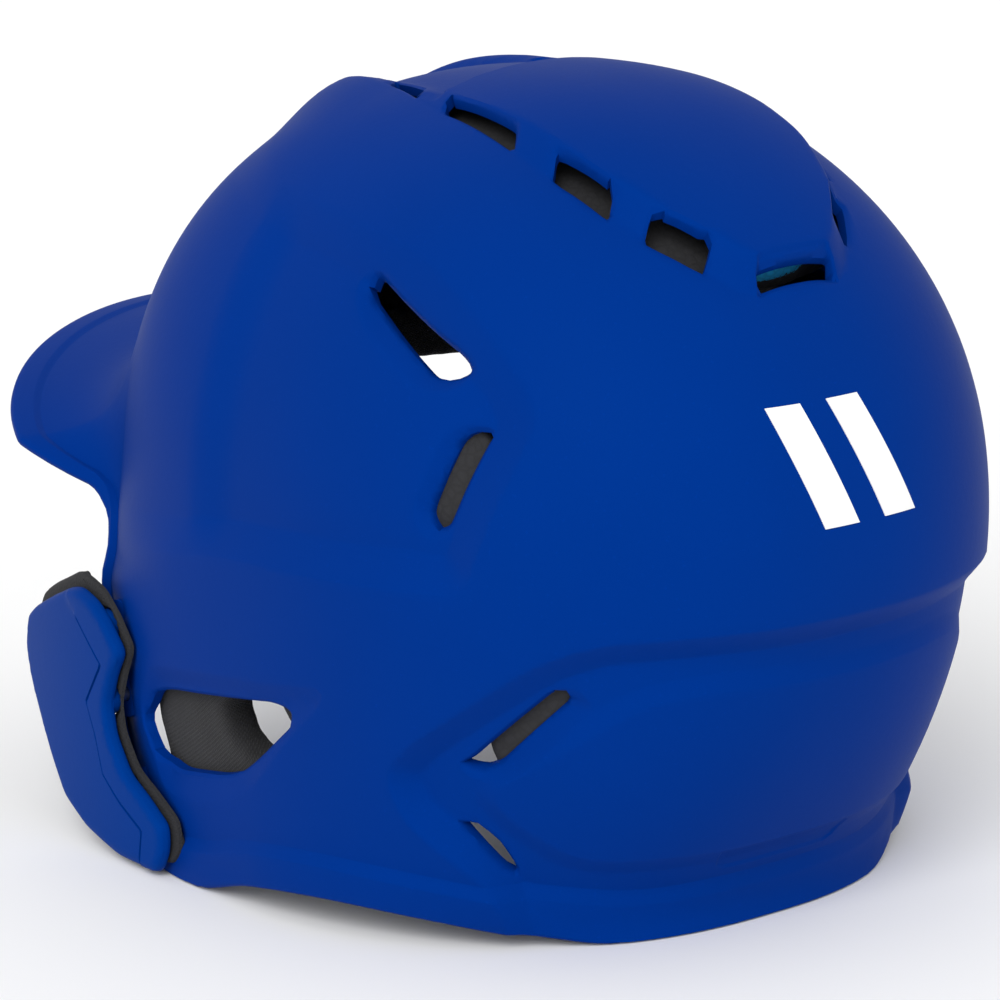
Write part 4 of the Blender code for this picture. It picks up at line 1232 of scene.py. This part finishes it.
def set_inputs(modifier, **values):
    """Gives a Geometry Nodes modifier its named inputs."""
    for item in modifier.node_group.interface.items_tree:
        key = getattr(item, "name", "").replace(" ", "_")
        if getattr(item, "in_out", "") == "INPUT" and key in values:
            modifier[item.identifier] = values[key]


def fastener(name, profile, place, turn, tree, look, node):
    turns = np.linspace(0, 2 * math.pi, 36, endpoint=False)
    points, faces = lathe(profile, 0.0, 0.0, turns)
    piece = mesh_object(name, points * MM, outward(points, faces), look, 40)
    modifier = piece.modifiers.new("Place", "NODES")
    modifier.node_group = tree
    set_inputs(modifier, Place=tuple(float(v) for v in place), Turn=turn)
    settle(piece)
    return stand_for(piece, "steel", node)


def build_fasteners(guard_wall):
    look = steel_look("steel")
    tree = placing_tree(look)
    for index, (name, (y, z)) in enumerate(SCREWS.items()):
        reach = float(guard_chart(np.array([[y, z]]))[0, 0]) - guard_wall / MM + 1.0
        under = SEAT_X - 0.1
        head = under - WASHER_TALL - 0.1
        for kind, profile, start in (
            ("screw", screw_profile(reach - head), head), ("washer", washer_profile(), under),
        ):
            place = to_part_frame(np.array([(start, y, z)]))[0]
            node = f"jaw_guard_{kind}_{name}"
            fastener(f"{node}_turned", profile, place, 0.7 * index, tree, look, node)


def build_mark(settings):
    """Two slanted bars printed on the back of the shell."""
    look = film_look("mark_white", settings.colour)
    film = settings.film / MM
    u, v = edge_lines(MARK_HALF_WIDE, 0.4, 1.0), edge_lines(MARK_HALF_TALL, 0.4, 1.5)
    grid = np.array([(a, b) for a in u for b in v])
    faces = grid_faces(len(u), len(v))
    for node, shift in (("rear_mark_left", -9.0), ("rear_mark_right", 9.0)):
        height = MARK_HEIGHT + grid[:, 1] * MARK_HALF_TALL
        turn = MARK_TURN - (shift + grid[:, 0] * MARK_HALF_WIDE + grid[:, 1] * MARK_SLANT) / MARK_DEGREE_ARC
        at = np.column_stack([turn, height])
        skin = Skin(wall_chart, at, faces, np.zeros(len(at), bool))
        outer = below(wall_chart, at, np.full(len(at), -film))
        inner = below(wall_chart, at, np.full(len(at), 0.1))
        points, all_faces = thicken(outer, inner, faces, skin.border())
        bar = mesh_object(f"{node}_print", to_part_frame(points), outward(points, all_faces), look)
        stand_for(bar, "mark_white", node)


# ---------------------------------------------------------------- materials


class Wire:
    """A varying number in a material, whose sums become Math nodes."""

    def __init__(self, look, socket):
        self.look, self.socket = look, socket

    def maths(self, operation, first, second):
        return self.look.add("ShaderNodeMath", {"operation": operation}, {0: first, 1: second})

    def __add__(self, other):
        return self.maths("ADD", self, other)

    def __sub__(self, other):
        return self.maths("SUBTRACT", self, other)

    def __rsub__(self, other):
        return self.maths("SUBTRACT", other, self)

    def __mul__(self, other):
        return self.maths("MULTIPLY", self, other)

    def __gt__(self, other):
        return self.maths("GREATER_THAN", self, other)

    __radd__ = __add__
    __rmul__ = __mul__


class Look:
    """A material being made, on the piece's own coordinates."""

    def __init__(self, name, roughness, sheen=0.0, metallic=0.0):
        self.material = bpy.data.materials.new(f"{name}_finish")
        self.material.use_nodes = True
        self.tree = self.material.node_tree
        self.shader = self.tree.nodes["Principled BSDF"]
        self.shader.inputs["Roughness"].default_value = roughness
        self.shader.inputs["Metallic"].default_value = metallic
        self.shader.inputs["Sheen Weight"].default_value = sheen
        self.place = self.add("ShaderNodeTexCoord", output="Object")

    def add(self, kind, settings=None, values=None, output=0):
        node = self.tree.nodes.new(kind)
        for key, value in (settings or {}).items():
            setattr(node, key, value)
        for key, value in (values or {}).items():
            self.feed(node.inputs[key], value)
        return Wire(self, node.outputs[output])

    def feed(self, socket, value):
        if isinstance(value, Wire):
            self.tree.links.new(value.socket, socket)
        else:
            socket.default_value = value

    def noise(self, scale, detail=3.0, rough=0.5, place=None):
        values = {"Vector": place or self.place, "Scale": scale, "Detail": detail, "Roughness": rough}
        return self.add("ShaderNodeTexNoise", None, values)

    def blend(self, share, first, second):
        colours = {0: share, 6: first, 7: second}
        return self.add("ShaderNodeMix", {"data_type": "RGBA"}, colours, output=2)

    def bump(self, height, strength, distance, onto=None):
        values = {"Height": height, "Strength": strength, "Distance": distance}
        if onto:
            values["Normal"] = onto
        return self.add("ShaderNodeBump", None, values)

    def put(self, **sockets):
        for name, value in sockets.items():
            self.feed(self.shader.inputs[name.replace("_", " ")], value)
        return self.material


def shade(colour, factor, alpha=1.0):
    return (*(min(1.0, c * factor) for c in colour), alpha)


def moulded_look(name, colour, roughness):
    """Satin, slightly rubbery moulded plastic."""
    look = Look(name, roughness)
    look.shader.inputs["Specular IOR Level"].default_value = 0.03
    look.shader.inputs["Specular Tint"].default_value = (0.12, 0.42, 1.0, 1)
    broad = look.noise(14, 2)
    fine = look.noise(2600, 2)
    peel = look.noise(420, 2)
    specks = look.noise(1300, 0) > 0.78
    tone = look.blend(broad, shade(colour, 0.94), shade(colour, 1.07))
    dusted = look.blend(specks * 0.12, tone, shade(colour, 1.6))
    rough = (broad - 0.5) * 0.08 + (fine - 0.5) * 0.1 + roughness
    normal = look.bump(fine, 0.10, 0.0002, look.bump(peel, 0.06, 0.0006))
    return look.put(Base_Color=dusted, Roughness=rough, Normal=normal)


def foam_look(name, colour, cells, strength, tail=None):
    """Moulded bead or closed-cell foam, with its rear end in another colour if one is given."""
    look = Look(name, 0.9)
    beads = look.add("ShaderNodeTexVoronoi", {"feature": "F1"}, {"Vector": look.place, "Scale": cells})
    joints = look.add(
        "ShaderNodeTexVoronoi", {"feature": "DISTANCE_TO_EDGE"}, {"Vector": look.place, "Scale": cells}
    )
    grain = look.noise(cells * 4, 3)
    tone = look.blend(joints * 4.0, shade(colour, 0.72), shade(colour, 1.1))
    worn = look.blend(grain * 0.35, tone, shade(colour, 1.5))
    if tail:
        back = look.add("ShaderNodeSeparateXYZ", None, {0: look.place}, output=1) + grain * 0.002
        tail_worn = look.blend(joints * 4.0, shade(tail, 0.8), shade(tail, 1.1))
        worn = look.blend(back > FOAM_TAIL_Y, worn, tail_worn)
    normal = look.bump((1 - beads) * 0.7 + grain * 0.3, strength, 0.0006)
    return look.put(Base_Color=worn, Roughness=(grain - 0.5) * 0.15 + 0.88, Normal=normal)


def fabric_look(name, colour):
    """Brushed knit, with the loops of the knit and loose fibres."""
    look = Look(name, 0.95, sheen=0.06)
    turned = look.add(
        "ShaderNodeMapping", None, {"Vector": look.place, "Rotation": (0.6, 0.35, 0.8), "Scale": (1, 1, 1)}
    )
    drift = look.noise(160, 2)
    ribs = look.add(
        "ShaderNodeTexWave", {"wave_type": "BANDS", "bands_direction": "X"},
        {"Vector": turned, "Scale": 420, "Distortion": 2.5, "Detail": 2.0, "Detail Scale": 3.0},
    )
    loops = look.add(
        "ShaderNodeTexWave", {"wave_type": "BANDS", "bands_direction": "Z"},
        {"Vector": turned, "Scale": 520, "Distortion": 2.0, "Detail": 2.0, "Detail Scale": 3.0},
    )
    fibres = look.noise(3800, 5, 0.7)
    knit = ribs * loops
    tone = look.blend(knit, shade(colour, 0.6), shade(colour, 2.4))
    worn = look.blend((fibres * drift) * 0.9, tone, shade(colour, 4.2))
    normal = look.bump(knit * 0.7 + fibres * 0.5, 0.7, 0.0005)
    return look.put(Base_Color=worn, Roughness=(fibres - 0.5) * 0.1 + 0.93, Normal=normal)


def steel_look(name):
    """Plated steel with turning marks."""
    look = Look(name, 0.32, metallic=1.0)
    stretched = look.add("ShaderNodeMapping", None, {"Vector": look.place, "Scale": (6000, 300, 300)})
    marks = look.noise(1.0, 2, 0.5, stretched)
    haze = look.noise(500, 3)
    tone = look.blend(haze, (0.42, 0.42, 0.44, 1), (0.66, 0.66, 0.68, 1))
    normal = look.bump(marks, 0.15, 0.0001)
    return look.put(Base_Color=tone, Roughness=marks * 0.15 + 0.26, Normal=normal)


def film_look(name, colour):
    """Printed film, off white."""
    look = Look(name, 0.42)
    cloud, grain = look.noise(60, 2), look.noise(2500, 2)
    tone = look.blend(cloud, shade(colour, 0.96), shade(colour, 1.02))
    normal = look.bump(grain, 0.06, 0.0002)
    return look.put(Base_Color=tone, Roughness=grain * 0.1 + 0.38, Normal=normal)


# ---------------------------------------------------------------- the stage


def add_light(name, kind, direction, energy, **settings):
    light = bpy.data.lights.new(name, kind)
    light.energy = energy
    for key, value in settings.items():
        setattr(light, key, value)
    obj = bpy.data.objects.new(name, light)
    bpy.context.scene.collection.objects.link(obj)
    aim = Vector(direction)
    obj.rotation_euler = (-aim).to_track_quat("-Z", "Y").to_euler()
    obj.location = Vector((0, 0, 0.1)) + aim
    return obj


def build_stage(settings):
    scene = bpy.context.scene
    look = Look("floor", 0.9)
    cloud = look.noise(3, 2)
    pale = tuple(settings.floor)
    look.shader.inputs["Emission Color"].default_value = (1, 1, 1, 1)
    look.shader.inputs["Emission Strength"].default_value = settings.floor_glow
    look.put(Base_Color=look.blend(cloud, shade(pale, 0.995), shade(pale, 1.005)))
    turns = np.linspace(0, 2 * math.pi, 64, endpoint=False)
    ring = [(6 * math.cos(t), 6 * math.sin(t), -0.0005) for t in turns]
    mesh = bpy.data.meshes.new("floor")
    mesh.from_pydata(ring, [], [list(range(64))])
    mesh.materials.append(look.material)
    floor = bpy.data.objects.new("floor", mesh)
    scene.collection.objects.link(floor)

    world = bpy.data.worlds.new("studio")
    world.use_nodes = True
    nodes, links = world.node_tree.nodes, world.node_tree.links
    seen, level = nodes.new("ShaderNodeLightPath"), nodes.new("ShaderNodeMix")
    level.inputs[2].default_value, level.inputs[3].default_value = settings.ambient, 1.0
    links.new(seen.outputs["Is Camera Ray"], level.inputs[0])
    links.new(level.outputs[0], nodes["Background"].inputs["Strength"])
    nodes["Background"].inputs["Color"].default_value = (1, 1, 1, 1)
    scene.world = world
    add_light("key", "SUN", (1.6, 1.1, 1.5), settings.key, angle=math.radians(35))
    add_light("fill", "SUN", (0.7, 1.6, 0.3), 0.3 * settings.key, angle=math.radians(60))

    camera = bpy.data.cameras.new("camera")
    camera.lens, camera.sensor_width = settings.lens, 36
    camera.clip_start, camera.clip_end = 0.05, 30
    holder = bpy.data.objects.new("camera", camera)
    scene.collection.objects.link(holder)
    back = Vector((0.59664, 0.76600, 0.23929))
    up = Vector((-0.17090, -0.17007, 0.97050))
    right = up.cross(back).normalized()
    turn = Matrix((right, back.cross(right), back)).transposed()
    holder.matrix_world = Matrix.Translation((0.81933, 1.05830, 0.41825)) @ turn.to_4x4()
    scene.camera = holder
    scene.view_settings.view_transform = "Standard"


# ---------------------------------------------------------------- operators


class HELMET_OT_shell(bpy.types.Operator):
    """Make the moulded shell with its bill, steps, vents and rolled rim"""

    bl_idname = "helmet.shell"
    bl_label = "Shell"

    def execute(self, context):
        build_shell(context.scene.helmet_shell)
        return {"FINISHED"}


class HELMET_OT_jaw_guard(bpy.types.Operator):
    """Make the jaw guard and the foam behind it"""

    bl_idname = "helmet.jaw_guard"
    bl_label = "Jaw guard"

    def execute(self, context):
        build_guard(context.scene.helmet_guard)
        build_guard_foam(context.scene.helmet_foam, context.scene.helmet_guard.wall / MM)
        return {"FINISHED"}


class HELMET_OT_fasteners(bpy.types.Operator):
    """Make the screws and washers that hold the jaw guard"""

    bl_idname = "helmet.fasteners"
    bl_label = "Fasteners"

    def execute(self, context):
        build_fasteners(context.scene.helmet_guard.wall)
        return {"FINISHED"}


class HELMET_OT_liners(bpy.types.Operator):
    """Make the blocks of impact foam inside the shell"""

    bl_idname = "helmet.liners"
    bl_label = "Foam liners"

    def execute(self, context):
        build_liners(context.scene.helmet_foam)
        return {"FINISHED"}


class HELMET_OT_pads(bpy.types.Operator):
    """Make the fabric pads that touch the head and the ears"""

    bl_idname = "helmet.pads"
    bl_label = "Fabric pads"

    def execute(self, context):
        build_pads(COMFORT_PADS + EAR_PADS, 0.0022, context.scene.helmet_fabric)
        return {"FINISHED"}


class HELMET_OT_mark(bpy.types.Operator):
    """Make the plain printed mark on the back"""

    bl_idname = "helmet.mark"
    bl_label = "Rear mark"

    def execute(self, context):
        build_mark(context.scene.helmet_mark)
        return {"FINISHED"}


class HELMET_OT_stage(bpy.types.Operator):
    """Make the floor, the light and the camera"""

    bl_idname = "helmet.stage"
    bl_label = "Stage"

    def execute(self, context):
        build_stage(context.scene.helmet_stage)
        return {"FINISHED"}


OPERATORS = [
    HELMET_OT_shell, HELMET_OT_jaw_guard, HELMET_OT_fasteners, HELMET_OT_liners, HELMET_OT_pads,
    HELMET_OT_mark, HELMET_OT_stage,
]


class HELMET_PT_panel(bpy.types.Panel):
    """Lists the pieces of the helmet"""

    bl_label = "Batting helmet"
    bl_idname = "HELMET_PT_panel"
    bl_space_type = "VIEW_3D"
    bl_region_type = "UI"
    bl_category = "Helmet"

    def draw(self, context):
        for operator in OPERATORS:
            self.layout.operator(operator.bl_idname)
        for name in SETTINGS:
            box = self.layout.box()
            group = getattr(context.scene, name)
            for key in group.bl_rna.properties.keys():
                if key not in ("rna_type", "name"):
                    box.prop(group, key)


def register():
    for kind in [*SETTINGS.values(), *OPERATORS, HELMET_PT_panel]:
        bpy.utils.register_class(kind)
    for name, kind in SETTINGS.items():
        setattr(bpy.types.Scene, name, bpy.props.PointerProperty(type=kind))


def unregister():
    for name in SETTINGS:
        delattr(bpy.types.Scene, name)
    for kind in reversed([*SETTINGS.values(), *OPERATORS, HELMET_PT_panel]):
        bpy.utils.unregister_class(kind)


def main():
    register()
    for operator in OPERATORS:
        group, action = operator.bl_idname.split(".")
        getattr(getattr(bpy.ops, group), action)()


if __name__ == "__main__":
    main()
